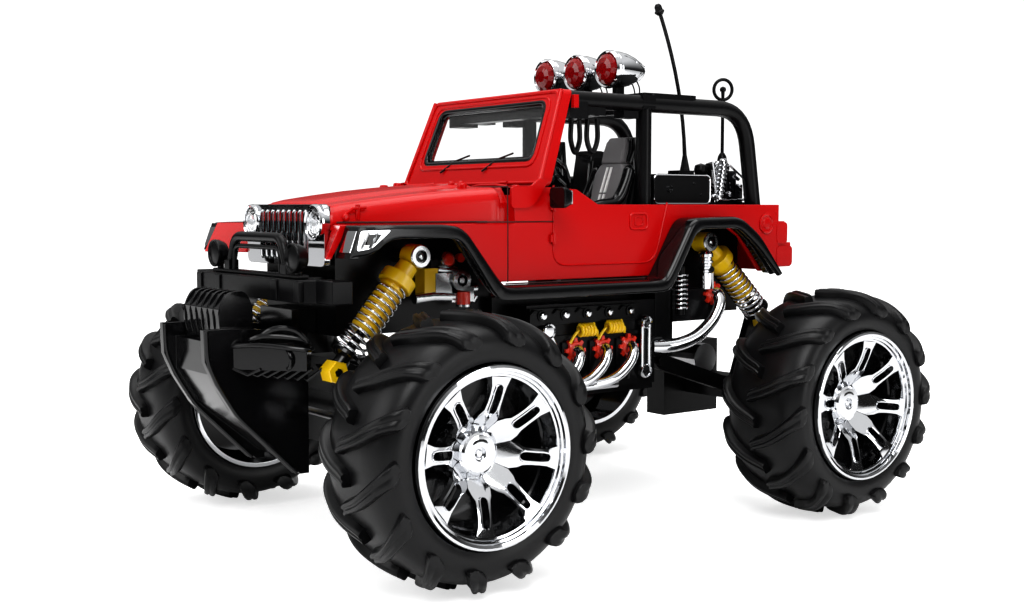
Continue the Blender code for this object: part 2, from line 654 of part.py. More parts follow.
def exhaust(name, side):
    """Three header pipes that run down and forward into one collector."""
    x = side * (BLOCK_HALF + 3 * mm + GAP)
    z = TRAY_Z + 27 * mm
    low = TRAY_Z + 9 * mm
    collector = [(x, COLLECTOR_Y[0], low), (x, 0, low), (x, COLLECTOR_Y[1], low + 1.5 * mm)]
    made = sweep(name, collector, 2.8 * mm, "chrome", 6)
    for i in (-1, 0, 1):
        y = i * HEADER_PITCH + HEADER_Y
        pipe = [(x, y, z), (x + side * 3.5 * mm, y + 1 * mm, z),
                (x + side * 4.5 * mm, y - 2 * mm, z - 6 * mm),
                (x + side * 2 * mm, y - 10 * mm, low + 4 * mm), (x, y - 17 * mm, low)]
        fuse(made, sweep(helper_name("header"), pipe, 2.5 * mm, "chrome", 6))
    return made


def skid_plate():
    """Front guard: two ribs, a floor between them, a finned cowl, side wings and a bracket to the tower."""
    nose = SKID_NOSE_Y
    back = FRONT_Y - 31 * mm
    z = AXLE_Z
    rib = [
        (nose, z + 53 * mm), (nose + 0.5 * mm, z + 37.5 * mm), (nose + 5.5 * mm, z + 26 * mm),
        (nose + 15.5 * mm, z + 10 * mm), (back - 5 * mm, z - 22.5 * mm), (back, z - 22.5 * mm),
        (back, z + 50 * mm),
        (nose + 12 * mm, z + 53 * mm),
    ]
    deck = [(nose + 7 * mm, z + 30 * mm), (nose + 18 * mm, z + 11 * mm), (back - 3 * mm, z - 18 * mm),
            (back, z - 18 * mm), (back, z + 46 * mm), (nose + 7 * mm, z + 46 * mm)]
    made = prism("skid_plate", deck, "X", -24 * mm, 24 * mm)
    hollow = [(nose + 11 * mm, z + 31 * mm), (nose + 21 * mm, z + 13 * mm),
              (back + mm, z - 13 * mm), (back + mm, z + 42 * mm),
              (nose + 11 * mm, z + 42 * mm)]
    for side in (-1, 1):
        xs = sorted((side * 23.5 * mm, side * 27.5 * mm))
        fuse(made, prism(helper_name("rib"), rib, "X", *xs))
        wing = [
            (side * 26 * mm, nose + 14 * mm), (side * 55 * mm, back - 15 * mm),
            (side * 46 * mm, back - 8 * mm), (side * 26 * mm, back - 8 * mm)]
        fuse(made, prism(helper_name("wing"), wing, "Z", z + 33 * mm, z + 44 * mm))
    cowl = [(nose + 12 * mm, z + 44 * mm), (nose + 11 * mm, z + 62 * mm), (nose + 16 * mm, z + 69 * mm),
            (nose + 24 * mm, z + 69 * mm), (nose + 27 * mm, z + 62 * mm), (nose + 27 * mm, z + 44 * mm)]
    fuse(made, prism(helper_name("cowl"), cowl, "X", -21 * mm, 21 * mm))
    arm = block(
        helper_name("skid_arm"), (-18 * mm, back - 4 * mm, z + 48 * mm),
        (18 * mm, FRONT_Y - 21 * mm - GAP, z + 60 * mm))
    stay = block(
        helper_name("skid_stay"), (-18 * mm, back - 4 * mm, z + 40 * mm), (18 * mm, back, z + 60 * mm))
    fuse(made, arm, stay)
    return cut(made, prism(helper_name("hollow"), hollow, "X", -20 * mm, 20 * mm))


# ---------------------------------------------------------------- body


def side_outline():
    """The tub's side in Y, Z: nose slope, cowl, door dip, belt, tail and rear wheel arch."""
    return [
        (FRONT_Y + 53 * mm, SILL_Z), (FRONT_Y + 27 * mm, FENDER_Z - 3 * mm), (FRONT_Y + 27 * mm, FENDER_Z),
        (DASH_Y, FENDER_Z), (DASH_Y, COWL_Z), (DASH_Y + 27 * mm, COWL_Z),
        (DASH_Y + 42 * mm, COWL_Z - 1 * mm),
        (DASH_Y + 57 * mm, BELT_Z), (TAIL_Y, BELT_Z), (TAIL_Y, SILL_Z),
        (REAR_Y - 4 * mm, SILL_Z), (REAR_Y - 22 * mm, SILL_Z + 21 * mm),
        (REAR_Y - 36 * mm, SILL_Z + 29 * mm),
        (REAR_Y - 70 * mm, SILL_Z + 29 * mm), (REAR_Y - 91 * mm, SILL_Z),
    ]


def hood_section(y, half, top, grow, low):
    """Hood cross-section at y: a flat top with a chamfered shoulder."""
    h, t = half - grow, top - grow
    return [
        (-h, y, low), (-h, y, t - 8 * mm), (-h + 6 * mm, y, t), (h - 6 * mm, y, t), (h, y, t - 8 * mm),
        (h, y, low)]


def fender_section(x, nose, rake):
    """A front wing cut lengthwise at x: a flat top and a raked nose that hangs down in front."""
    back, skin = FRONT_Y + 30 * mm, 3 * mm
    drop = FENDER_Z - 16 * mm
    return [(x, back, FENDER_Z), (x, nose, FENDER_Z), (x, nose - rake, drop), (x, nose - rake + skin, drop),
            (x, nose + skin, FENDER_Z - skin), (x, back, FENDER_Z - skin)]


def body_shell():
    made = prism("body_shell", side_outline(), "X", -BODY_HALF, BODY_HALF, "red_paint")
    hood_low = FENDER_Z - 3 * mm
    hood = loft(helper_name("hood"),
                hood_section(HOOD_NOSE_Y, HOOD_NOSE_HALF, AXLE_Z + HOOD_NOSE_UP, 0, hood_low),
                hood_section(DASH_Y + mm, HOOD_REAR_HALF, COWL_Z, 0, hood_low))
    fuse(made, hood)
    for side in (-1, 1):
        inner = fender_section(side * (HOOD_NOSE_HALF + GAP), HOOD_NOSE_Y + 1 * mm, 5 * mm)
        outer = fender_section(side * (BODY_HALF + 2 * mm), HOOD_NOSE_Y - 9 * mm, 8 * mm)
        fuse(made, loft(helper_name("fender"), inner, outer))
        xs = sorted((side * (BODY_HALF - 16 * mm), side * (BODY_HALF - mm)))
        lamps = [(TAIL_Y - mm, SILL_Z + 2 * mm), (TAIL_Y + 12 * mm, SILL_Z + 2 * mm),
                 (TAIL_Y + 12 * mm, SILL_Z + 17 * mm), (TAIL_Y + 6.5 * mm, SILL_Z + 17 * mm),
                 (TAIL_Y + 6.5 * mm, SILL_Z + 30 * mm), (TAIL_Y - mm, SILL_Z + 30 * mm)]
        fuse(made, prism(helper_name("tail_lamp"), lamps, "X", *xs))
    inside = BODY_HALF - WALL
    cabin = block(
        helper_name("cabin"), (-inside, DASH_Y + WALL, SILL_Z - 20 * mm),
        (inside, TAIL_Y - WALL, COWL_Z + 20 * mm))
    under = loft(helper_name("under_hood"),
                 hood_section(
                     HOOD_NOSE_Y + WALL, HOOD_NOSE_HALF, AXLE_Z + HOOD_NOSE_UP, WALL, SILL_Z - 20 * mm),
                 hood_section(DASH_Y + 5 * mm, HOOD_REAR_HALF, COWL_Z, WALL, SILL_Z - 20 * mm))
    nose_gap = block(helper_name("nose_gap"), (4 * mm - HOOD_NOSE_HALF, HOOD_NOSE_Y - mm, AXLE_Z + 78 * mm),
                     (HOOD_NOSE_HALF - 4 * mm, HOOD_NOSE_Y + 5 * mm, AXLE_Z + HOOD_NOSE_UP - 6 * mm))
    cut(made, cabin, under, nose_gap)
    for side in (-1, 1):
        xs = sorted((side * (HOOD_REAR_HALF - 12 * mm), side * inside))
        cut(
            made,
            block(
                helper_name("quarter"), (xs[0], FRONT_Y + 20 * mm, SILL_Z - 20 * mm),
                (xs[1], DASH_Y + 5 * mm, FENDER_Z - 3 * mm)))
    return made


def windshield():
    """Leaning frame and its glass."""
    lean = 0.377
    depth = 8 * mm
    foot_z, top_z = COWL_Z + GAP, ROOF_Z
    foot_y = DASH_Y + 16.5 * mm
    top_y = foot_y + (top_z - foot_z) * lean
    half = BODY_HALF - 0.5 * mm

    def ring(name, foot_half, top_half, low, high, front, back, finish):
        corners = []
        for push in (front, back):
            ys = [foot_y + (zz - foot_z) * lean + push for zz in (low, high)]
            corners.append(
                [
                    (-foot_half, ys[0], low), (foot_half, ys[0], low), (top_half, ys[1], high),
                    (-top_half, ys[1], high)])
        return loft(name, corners[0], corners[1], finish)

    frame = ring("windshield_frame", half, FRAME_TOP_HALF, foot_z, top_z, 0, depth, "red_paint")
    hole_low, hole_high = foot_z + 13.5 * mm, top_z - 6 * mm
    hole_half = 54.6 * mm * BODY_HALF / (68 * mm)
    cut(
        frame,
        ring(
            helper_name("hole"), hole_half, hole_half, hole_low, hole_high, -3 * mm, depth + 3 * mm,
            "red_paint"))
    ring(
        "windshield_glass", hole_half - GAP, hole_half - GAP, hole_low + GAP, hole_high - GAP, 2 * mm,
        4 * mm, "clear")
    return top_y + depth


def grille():
    """Chrome panel with upright slots and two lamp holes, and the lamps' lenses."""
    half = HOOD_NOSE_HALF - 0.5 * mm
    low, high = AXLE_Z + 82 * mm, AXLE_Z + HOOD_NOSE_UP - 1 * mm
    y = HOOD_NOSE_Y - GAP
    made = block("grille", (-half, y - 3 * mm, low), (half, y, high), "chrome")
    lamp_x, lamp_z = 35.4 * mm * half / (43.5 * mm), AXLE_Z + 104 * mm
    for side in (-1, 1):
        hole = rod(
            helper_name("lamp_hole"), 7.4 * mm, "Y", y - 5 * mm, y + mm, (side * lamp_x, 0, lamp_z),
            "chrome", 14)
        cut(made, hole)
        name = "headlight_lens_left" if side > 0 else "headlight_lens_right"
        turned(name, [(7 * mm, y), (7 * mm, y - 3 * mm), (4 * mm, y - 4.5 * mm), (0, y - 5 * mm)], "Y",
               (side * lamp_x, 0, lamp_z), "clear", 14)
    slots = 8
    pitch = 6.2 * mm
    for i in range(slots):
        x = (i - (slots - 1) / 2) * pitch
        cut(
            made,
            block(
                helper_name("slot"), (x - 1.6 * mm, y - 5 * mm, low + 3 * mm),
                (x + 1.6 * mm, y + mm, high - 4 * mm)))


def bumper():
    z0, z1 = BUMPER_Z - 11 * mm, BUMPER_Z
    front = HOOD_NOSE_Y - 25 * mm
    outline = [
        (-58, 0), (58, 0), (62, 7), (78, 7), (78, 18), (56, 18), (56, 12), (-56, 12), (-56, 18),
        (-78, 18), (-78, 7), (-62, 7)]
    made = prism("front_bumper", [(x * mm, front + y * mm) for x, y in outline], "Z", z0, z1)
    for side in (-1, 1):
        xs = sorted((side * 20 * mm, side * 30 * mm))
        fuse(
            made,
            block(
                helper_name("bumper_arm"), (xs[0], front + 11 * mm, z0 + 2 * mm),
                (xs[1], FRONT_Y - 21 * mm - GAP, z1)))
    y = front + 7 * mm
    foot = z1 + GAP
    guard = block("brush_guard", (-50 * mm, y - 3 * mm, foot), (50 * mm, y + 3 * mm, foot + 2 * mm))
    hoop = [(-32 * mm, y, foot + 1 * mm), (-31 * mm, y, z1 + 9 * mm), (-26 * mm, y, z1 + 18 * mm),
            (26 * mm, y, z1 + 18 * mm), (31 * mm, y, z1 + 9 * mm), (32 * mm, y, foot + 1 * mm)]
    fuse(guard, sweep(helper_name("hoop"), hoop, 2.6 * mm, sides=6))
    for side in (-1, 1):
        lamp = turned(helper_name("spot"),
                      [(3 * mm, y + 4 * mm), (6.2 * mm, y + 1 * mm), (6.2 * mm, y - 4 * mm)], "Y",
                      (side * 45 * mm, 0, z1 + 10 * mm), "black_plastic", 12)
        post = block(
            helper_name("post"), (side * 45 * mm - 1.5 * mm, y - 1.5 * mm, foot + 1 * mm),
            (side * 45 * mm + 1.5 * mm, y + 1.5 * mm, z1 + 8 * mm))
        fuse(guard, post, lamp)


def fender_trim(name, side):
    """One black moulding a side: front arch, sill and rear arch."""
    f, r, s = FRONT_Y, REAR_Y, SILL_Z - 0.5 * mm
    top = FENDER_Z
    nose = HOOD_NOSE_Y - 11 * mm
    outline = [
        (nose, top), (f + 22 * mm, top), (f + 29 * mm, top - 3 * mm), (f + 49 * mm, s + 2 * mm),
        (f + 52 * mm, s - 1 * mm),
        (r - 97 * mm, s - 1 * mm), (r - 94 * mm, s + 4 * mm), (r - 75 * mm, s + 34 * mm),
        (r - 36 * mm, s + 34 * mm),
        (r - 19 * mm, s + 23 * mm), (r + 0 * mm, s), (r - 4 * mm, s - 2 * mm), (r - 23 * mm, s + 16 * mm),
        (r - 38 * mm, s + 27 * mm), (r - 71 * mm, s + 27 * mm), (r - 90 * mm, s - 6 * mm),
        (r - 95 * mm, s - 8 * mm),
        (f + 53 * mm, s - 8 * mm), (f + 46 * mm, s - 8 * mm), (f + 24 * mm, top - 7 * mm),
        (f + 16 * mm, top - 6 * mm),
        (f - 16 * mm, top - 6 * mm), (f - 29 * mm, top - 14 * mm), (nose - 6 * mm, top - 16 * mm),
    ]
    xs = sorted((side * (BODY_HALF + 2 * mm + GAP), side * FLARE_HALF))
    made = prism(name, outline, "X", *xs)
    lip = sorted((side * (BODY_HALF - 8 * mm), side * (FLARE_HALF - 2 * mm)))
    sill = block(helper_name("sill"), (lip[0], f + 58 * mm, s - 7 * mm), (lip[1], r - 100 * mm, s - 1 * mm))
    return fuse(made, sill)


def cabin():
    """Floor with dashboard and centre rest, two seats and the steering wheel."""
    half = BODY_HALF - WALL - GAP
    front = DASH_Y + WALL + GAP
    floor = block("cabin_floor", (-half, front, FLOOR_Z), (half, TAIL_Y - WALL - GAP, FLOOR_Z + 3 * mm))
    dash = [(front, FLOOR_Z + 2 * mm), (front, COWL_Z - 3 * mm), (front + 12 * mm, COWL_Z - 4 * mm),
            (front + 22 * mm, COWL_Z - 12 * mm),
            (front + 18 * mm, FLOOR_Z + 2 * mm)]
    fuse(floor, prism(helper_name("dash"), dash, "X", 2 * mm - half, half - 2 * mm))
    seat_y = REAR_Y - 102 * mm
    rest = block(
        helper_name("rest"), (-8 * mm, seat_y + 16 * mm, FLOOR_Z + 2 * mm),
        (8 * mm, seat_y + 26 * mm, FLOOR_Z + 43 * mm))
    fuse(floor, rest)
    outline = [(-26, 3.4), (-26, 11), (-2, 9), (8, 36), (12, 50), (20, 50), (20, 36), (10, 3.4)]
    for side, name in ((1, "seat_left"), (-1, "seat_right")):
        xs = sorted((side * 17 * mm, side * (BODY_HALF - 21 * mm)))
        prism(name, [(seat_y + y * mm, FLOOR_Z + z * mm) for y, z in outline], "X", *xs, "seat_grey")
    centre = Vector((32 * mm, DASH_Y + 56 * mm, FLOOR_Z + 26 * mm))
    tilt = math.radians(30)
    axis = Vector((0, -math.cos(tilt), -math.sin(tilt) * 0.5)).normalized()
    flat = Vector((1, 0, 0))
    up = axis.cross(flat)
    turns = [2 * math.pi * i / 12 for i in range(12)]
    wheel = sweep(
        "steering_wheel", [centre + (flat * math.cos(t) + up * math.sin(t)) * 11 * mm for t in turns],
        1.3 * mm, sides=6, ring=True)
    for t in (0, 2 * math.pi / 3, 4 * math.pi / 3):
        spoke = [centre, centre + (flat * math.cos(t) + up * math.sin(t)) * 11 * mm]
        fuse(wheel, sweep(helper_name("wheel_spoke"), spoke, 1 * mm, sides=6))
    reach = (centre.y - (front + 22 * mm) - GAP * 6) / -axis.y
    column = [centre - axis * 1 * mm, centre + axis * reach]
    fuse(wheel, sweep(helper_name("column"), column, 2.2 * mm))


def mirror(name, side):
    y, z = DASH_Y + 22 * mm, COWL_Z - 4 * mm
    x = BODY_HALF + 5 * mm
    xs = sorted((side * x, side * (x + 13 * mm)))
    made = block(name, (xs[0], y - 3 * mm, z - 7 * mm), (xs[1], y + 3 * mm, z + 4 * mm))
    xs = sorted((side * (BODY_HALF + GAP), side * (x + 4 * mm)))
    return fuse(
        made,
        block(
            helper_name("mirror_arm"), (xs[0], y + 1 * mm, z - 1.5 * mm),
            (xs[1], y + 6 * mm, z + 1.5 * mm)))


def bend(corner, start, finish, radius, steps=4):
    """Points of a rounded corner between two directions."""
    a = (Vector(start) - Vector(corner)).normalized()
    b = (Vector(finish) - Vector(corner)).normalized()
    first, last = Vector(corner) + a * radius, Vector(corner) + b * radius
    points = []
    for i in range(steps + 1):
        t = i / steps
        points.append(first * (1 - t) ** 2 + Vector(corner) * 2 * t * (1 - t) + last * t ** 2)
    return points


def roll_cage(header_y):
    """Side rails bent down to the tub, the middle hoop, the front header and the lamp plate."""
    x = BODY_HALF - 14 * mm
    z = ROOF_Z - CAGE_TUBE
    foot = FLOOR_Z + 3 * mm + GAP
    hoop_y = REAR_Y - 86 * mm
    front_y = header_y + GAP
    knee_y, leg_y = REAR_Y - 5 * mm, REAR_Y + 4.6 * mm
    made = None
    for side in (-1, 1):
        start = (side * x, front_y, z)
        corner = (side * x, knee_y, z)
        end = (side * x, leg_y, BELT_Z - 4 * mm)
        path = [start, *bend(corner, start, end, 22 * mm), end, (side * x, leg_y, foot)]
        rail = sweep("roll_cage" if made is None else helper_name("rail"), path, CAGE_TUBE)
        made = rail if made is None else fuse(made, rail)
    hoop_z = z - 0.7 * mm
    hoop_tube = CAGE_TUBE - 0.4 * mm
    for side in (-1, 1):
        fuse(
            made,
            rod(helper_name("hoop_leg"), hoop_tube, "Z", foot, hoop_z, (side * (x - 0.4 * mm), hoop_y, 0)))
    fuse(made, rod(helper_name("hoop_top"), hoop_tube, "X", -x, x, (0, hoop_y, hoop_z)))
    fuse(made, block(helper_name("header"), (-x, front_y, z - 9 * mm), (x, front_y + 9 * mm, z + 2 * mm)))
    fuse(
        made,
        block(
            helper_name("lamp_plate"), (-x, hoop_y, ROOF_Z - 3 * mm),
            (x, hoop_y + 40 * mm, ROOF_Z + 2 * mm)))
    return made


def roof_lamps():
    """Three bullet lamps on one chrome bar, with their lenses."""
    y = REAR_Y - 92 * mm
    z = ROOF_Z + 2 * mm + LAMP_RADIUS + 3.5 * mm
    bar = rod("roof_lamp_bar", 2.2 * mm, "X", -LAMP_PITCH, LAMP_PITCH, (0, y + 10 * mm, z), "chrome", 8)
    bowl = [
        (LAMP_RADIUS - 1.2 * mm, y), (LAMP_RADIUS, y + 2 * mm), (LAMP_RADIUS - 0.5 * mm, y + 8 * mm),
        (7 * mm, y + 20 * mm), (3 * mm, y + 27 * mm)]
    for i, name in ((-1, "roof_lens_right"), (0, "roof_lens_centre"), (1, "roof_lens_left")):
        x = i * LAMP_PITCH
        shell = turned(helper_name("bowl"), bowl, "Y", (x, 0, z), "chrome", 12)
        leg = block(
            helper_name("leg"), (x - 1.5 * mm, y + 7 * mm, ROOF_Z + 2 * mm + GAP),
            (x + 1.5 * mm, y + 12 * mm, z - 5 * mm))
        fuse(bar, shell, leg)
        cap = [(LAMP_RADIUS - 1.6 * mm, y - GAP), (7 * mm, y - 1.8 * mm), (0, y - 3 * mm)]
        turned(name, cap, "Y", (x, 0, z), "red_lens", 12)


def cargo():
    """Equipment box behind the seats, with the ring aerial beside it, and the whip aerial on top."""
    floor = FLOOR_Z + 3 * mm + GAP
    y = REAR_Y - 66 * mm
    edge = BODY_HALF - 22 * mm
    box = block("cargo_box", (-edge, y, floor), (edge, y + 40 * mm, BELT_Z + 18 * mm))
    step = block(
        helper_name("step"), (edge - 20 * mm, y + 39 * mm, floor), (edge, y + 72 * mm, BELT_Z + 2 * mm))
    post = Vector((edge - 8 * mm, y + 59.5 * mm, 0))
    base = rod(helper_name("post"), 3.5 * mm, "Z", BELT_Z, BELT_Z + 22 * mm, post)
    stem = rod(helper_name("stem"), 1.1 * mm, "Z", BELT_Z + 20 * mm, BELT_Z + 66 * mm, post, segments=8)
    turns = [2 * math.pi * i / 12 for i in range(12)]
    loop = [
        (post.x + 5 * mm * math.cos(t), post.y, BELT_Z + 70.5 * mm + 6 * mm * math.sin(t))
        for t in turns]
    fuse(box, step, base, stem, sweep(helper_name("loop"), loop, 1.2 * mm, sides=5, ring=True))
    top = BELT_Z + 18 * mm + GAP
    foot = Vector((edge - 15 * mm, y + 34.6 * mm, top))
    whip = block(
        "antenna_whip", (foot.x - 5.2 * mm, foot.y - 9.6 * mm, top),
        (foot.x + 5.2 * mm, foot.y + 3.2 * mm, top + 2.5 * mm))
    bow = [
        (foot.x, foot.y - 24.5 * mm * t * t, top + 2 * mm + 99 * mm * t)
        for t in (0, 0.08, 0.3, 0.5, 0.7, 0.85, 0.94)]
    tip = bow[-1]
    path = bow + [(tip[0], tip[1] - d * 0.35 * mm, tip[2] + d * mm) for d in (0.6, 3, 6)]
    radii = [3 * mm] + [1.1 * mm] * 6 + [2.8 * mm, 3 * mm, 1.6 * mm]
    fuse(whip, sweep(helper_name("whip"), path, radii))


for old in list(bpy.data.objects):
    bpy.data.objects.remove(old)
truck = bpy.data.objects.new("truck", None)
truck.location = (0, FRAME_SHIFT_Y, 0)
bpy.context.scene.collection.objects.link(truck)

for end, end_name in ((-1, "front"), (1, "rear")):
    for side, side_name in ((1, "left"), (-1, "right")):
        axle_y = end * WHEELBASE / 2
        tyre(f"tyre_{end_name}_{side_name}", side, axle_y)
        rim(f"rim_{end_name}_{side_name}", side, axle_y)
        shock(f"{end_name}_{side_name}", side, end)
front_axle()
knuckle("knuckle_left", 1)
knuckle("knuckle_right", -1)
tie_rod()
rear_axle()
chassis()
exhaust("exhaust_left", 1)
exhaust("exhaust_right", -1)
skid_plate()
body_shell()
header_y = windshield()
grille()
bumper()
fender_trim("fender_trim_left", 1)
fender_trim("fender_trim_right", -1)
cabin()
mirror("mirror_left", 1)
mirror("mirror_right", -1)
roll_cage(header_y)
roof_lamps()
cargo()
for made in truck.children:
    if made.location.length == 0:
        corners = [Vector(corner) for corner in made.bound_box]
        hang_on(made, *((corners[0] + corners[6]) / 2))
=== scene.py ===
"""Finished look of a remote control monster truck, laid out as an add-on with one operator for each
group of pieces.

Lengths are in metres and written in millimetres times mm. at(x, y, z) is a point measured across from the centre
plane, along from the middle of the wheelbase (nose towards -Y) and up from the ground.
"""

import json
import math

import bmesh
import bpy
from mathutils import Euler, Matrix, Vector


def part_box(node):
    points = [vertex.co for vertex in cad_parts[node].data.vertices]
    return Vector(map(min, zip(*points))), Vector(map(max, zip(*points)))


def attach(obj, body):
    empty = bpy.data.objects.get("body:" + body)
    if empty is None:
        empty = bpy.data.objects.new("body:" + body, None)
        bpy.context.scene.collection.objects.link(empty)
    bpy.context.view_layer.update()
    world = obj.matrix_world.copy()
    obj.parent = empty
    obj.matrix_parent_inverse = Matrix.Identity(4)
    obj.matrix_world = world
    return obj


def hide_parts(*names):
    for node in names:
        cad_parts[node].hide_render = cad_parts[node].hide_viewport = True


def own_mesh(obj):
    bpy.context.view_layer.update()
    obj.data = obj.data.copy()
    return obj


bl_info = {
    "name": "Monster Truck Finish",
    "version": (1, 0, 0),
    "blender": (4, 5, 0),
    "location": "3D View > Sidebar > Truck",
    "description": "Builds the visible pieces and finishes of a remote control monster truck",
    "category": "Object",
}

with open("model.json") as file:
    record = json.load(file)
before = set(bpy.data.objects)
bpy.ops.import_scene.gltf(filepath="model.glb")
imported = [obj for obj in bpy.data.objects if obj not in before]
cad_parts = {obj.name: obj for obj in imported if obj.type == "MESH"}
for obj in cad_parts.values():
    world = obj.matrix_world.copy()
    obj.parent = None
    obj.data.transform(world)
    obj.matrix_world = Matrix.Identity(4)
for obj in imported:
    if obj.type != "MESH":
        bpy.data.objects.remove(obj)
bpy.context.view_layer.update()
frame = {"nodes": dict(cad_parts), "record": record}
mm = 0.001

# Places read from the frame
TYRE_LOW, TYRE_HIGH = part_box("tyre_front_left")
REAR_LOW, REAR_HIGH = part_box("tyre_rear_left")
RIM_LOW, RIM_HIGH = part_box("rim_front_left")
BODY_LOW, BODY_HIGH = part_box("body_shell")
TYRE_RADIUS = (TYRE_HIGH.z - TYRE_LOW.z) / 2
TYRE_WIDTH = TYRE_HIGH.x - TYRE_LOW.x
TYRE_IN = TYRE_LOW.x
TYRE_OUT = TYRE_HIGH.x
RIM_RADIUS = (RIM_HIGH.z - RIM_LOW.z) / 2
AXLE_Z = (TYRE_HIGH.z + TYRE_LOW.z) / 2
FRONT_Y = (TYRE_HIGH.y + TYRE_LOW.y) / 2
REAR_Y = (REAR_HIGH.y + REAR_LOW.y) / 2
MID_Y = (FRONT_Y + REAR_Y) / 2
SIDES = (("left", 1), ("right", -1))
ENDS = (("front", FRONT_Y), ("rear", REAR_Y))

SMOOTH_ANGLE = math.radians(38)


def at(x, y, z):
    return Vector((x * mm, MID_Y + y * mm, z * mm))


# ---------------------------------------------------------------- sizes and colours


class TruckSizes(bpy.types.PropertyGroup):
    lug_count: bpy.props.IntProperty(
        name="Tread lugs", description="Lugs on each half of a tyre", default=14)
    lug_height: bpy.props.FloatProperty(
        name="Lug height", description="How far a lug stands off the carcass", default=4.4 * mm, unit="LENGTH")
    spoke_count: bpy.props.IntProperty(name="Spokes", description="Spokes of each rim", default=8)
    spring_turns: bpy.props.IntProperty(
        name="Spring turns", description="Turns of each coil spring", default=11)
    spring_wire: bpy.props.FloatProperty(
        name="Spring wire", description="Radius of the spring wire", default=0.75 * mm, unit="LENGTH")
    edge_round: bpy.props.FloatProperty(
        name="Edge rounding", description="Radius of the body's moulded edges", default=1.1 * mm, unit="LENGTH")


class TruckColours(bpy.types.PropertyGroup):
    shell: bpy.props.FloatVectorProperty(
        name="Shell", description="Moulded body colour", subtype="COLOR", default=(0.5, 0.0012, 0.0018), min=0, max=1)
    damper: bpy.props.FloatVectorProperty(
        name="Dampers", description="Damper and plug lead colour", subtype="COLOR", default=(0.9, 0.56, 0.004), min=0, max=1)
    lens: bpy.props.FloatVectorProperty(
        name="Roof lenses", description="Roof lamp lens colour", subtype="COLOR", default=(0.32, 0.001, 0.003), min=0, max=1)
    flange: bpy.props.FloatVectorProperty(
        name="Flanges", description="Exhaust flange colour", subtype="COLOR", default=(0.72, 0.03, 0.01), min=0, max=1)
    floor: bpy.props.FloatVectorProperty(
        name="Floor", description="Studio floor colour", subtype="COLOR", default=(0.93, 0.93, 0.93), min=0, max=1)


def sizes():
    return bpy.context.scene.truck_sizes


def colours():
    return bpy.context.scene.truck_colours


# ---------------------------------------------------------------- shader groups and finishes


def shader_group(name, inputs, outputs):
    group = bpy.data.node_groups.new(name, "ShaderNodeTree")
    for label, kind, default in inputs:
        socket = group.interface.new_socket(name=label, in_out="INPUT", socket_type=kind)
        socket.default_value = default
    for label, kind in outputs:
        group.interface.new_socket(name=label, in_out="OUTPUT", socket_type=kind)
    return group, group.nodes.new("NodeGroupInput"), group.nodes.new("NodeGroupOutput")


def grain_group():
    """Fine moulded or cast grain: a height for a bump and a slow mottling mask."""
    found = bpy.data.node_groups.get("moulding_grain")
    if found:
        return found
    group, given, out = shader_group(
        "moulding_grain",
        [("Grain Scale", "NodeSocketFloat", 900.0), ("Mottle Scale", "NodeSocketFloat", 40.0)],
        [("Height", "NodeSocketFloat"), ("Mottle", "NodeSocketFloat")],
    )
    place = group.nodes.new("ShaderNodeTexCoord")
    grain = group.nodes.new("ShaderNodeTexNoise")
    mottle = group.nodes.new("ShaderNodeTexNoise")
    grain.inputs["Detail"].default_value = 4
    mottle.inputs["Detail"].default_value = 5
    links = group.links
    links.new(place.outputs["Object"], grain.inputs["Vector"])
    links.new(place.outputs["Object"], mottle.inputs["Vector"])
    links.new(given.outputs["Grain Scale"], grain.inputs["Scale"])
    links.new(given.outputs["Mottle Scale"], mottle.inputs["Scale"])
    links.new(grain.outputs["Fac"], out.inputs["Height"])
    links.new(mottle.outputs["Fac"], out.inputs["Mottle"])
    return group


def dust_group():
    """Mask of light dust: faces that look up, broken up by noise."""
    found = bpy.data.node_groups.get("settled_dust")
    if found:
        return found
    group, given, out = shader_group(
        "settled_dust",
        [("Amount", "NodeSocketFloat", 0.2), ("Scale", "NodeSocketFloat", 120.0)],
        [("Mask", "NodeSocketFloat")],
    )
    geometry = group.nodes.new("ShaderNodeNewGeometry")
    axes = group.nodes.new("ShaderNodeSeparateXYZ")
    place = group.nodes.new("ShaderNodeTexCoord")
    noise = group.nodes.new("ShaderNodeTexNoise")
    noise.inputs["Detail"].default_value = 6
    level = group.nodes.new("ShaderNodeMapRange")
    level.inputs["From Min"].default_value = 0.42
    level.inputs["From Max"].default_value = 0.75
    up = group.nodes.new("ShaderNodeMapRange")
    up.inputs["From Min"].default_value = -0.2
    mix = group.nodes.new("ShaderNodeMath")
    mix.operation = "MULTIPLY"
    final = group.nodes.new("ShaderNodeMath")
    final.operation = "MULTIPLY"
    links = group.links
    links.new(geometry.outputs["Normal"], axes.inputs[0])
    links.new(axes.outputs["Z"], up.inputs["Value"])
    links.new(place.outputs["Object"], noise.inputs["Vector"])
    links.new(given.outputs["Scale"], noise.inputs["Scale"])
    links.new(noise.outputs["Fac"], level.inputs["Value"])
    links.new(level.outputs["Result"], mix.inputs[0])
    links.new(up.outputs["Result"], mix.inputs[1])
    links.new(mix.outputs[0], final.inputs[0])
    links.new(given.outputs["Amount"], final.inputs[1])
    links.new(final.outputs[0], out.inputs["Mask"])
    return group


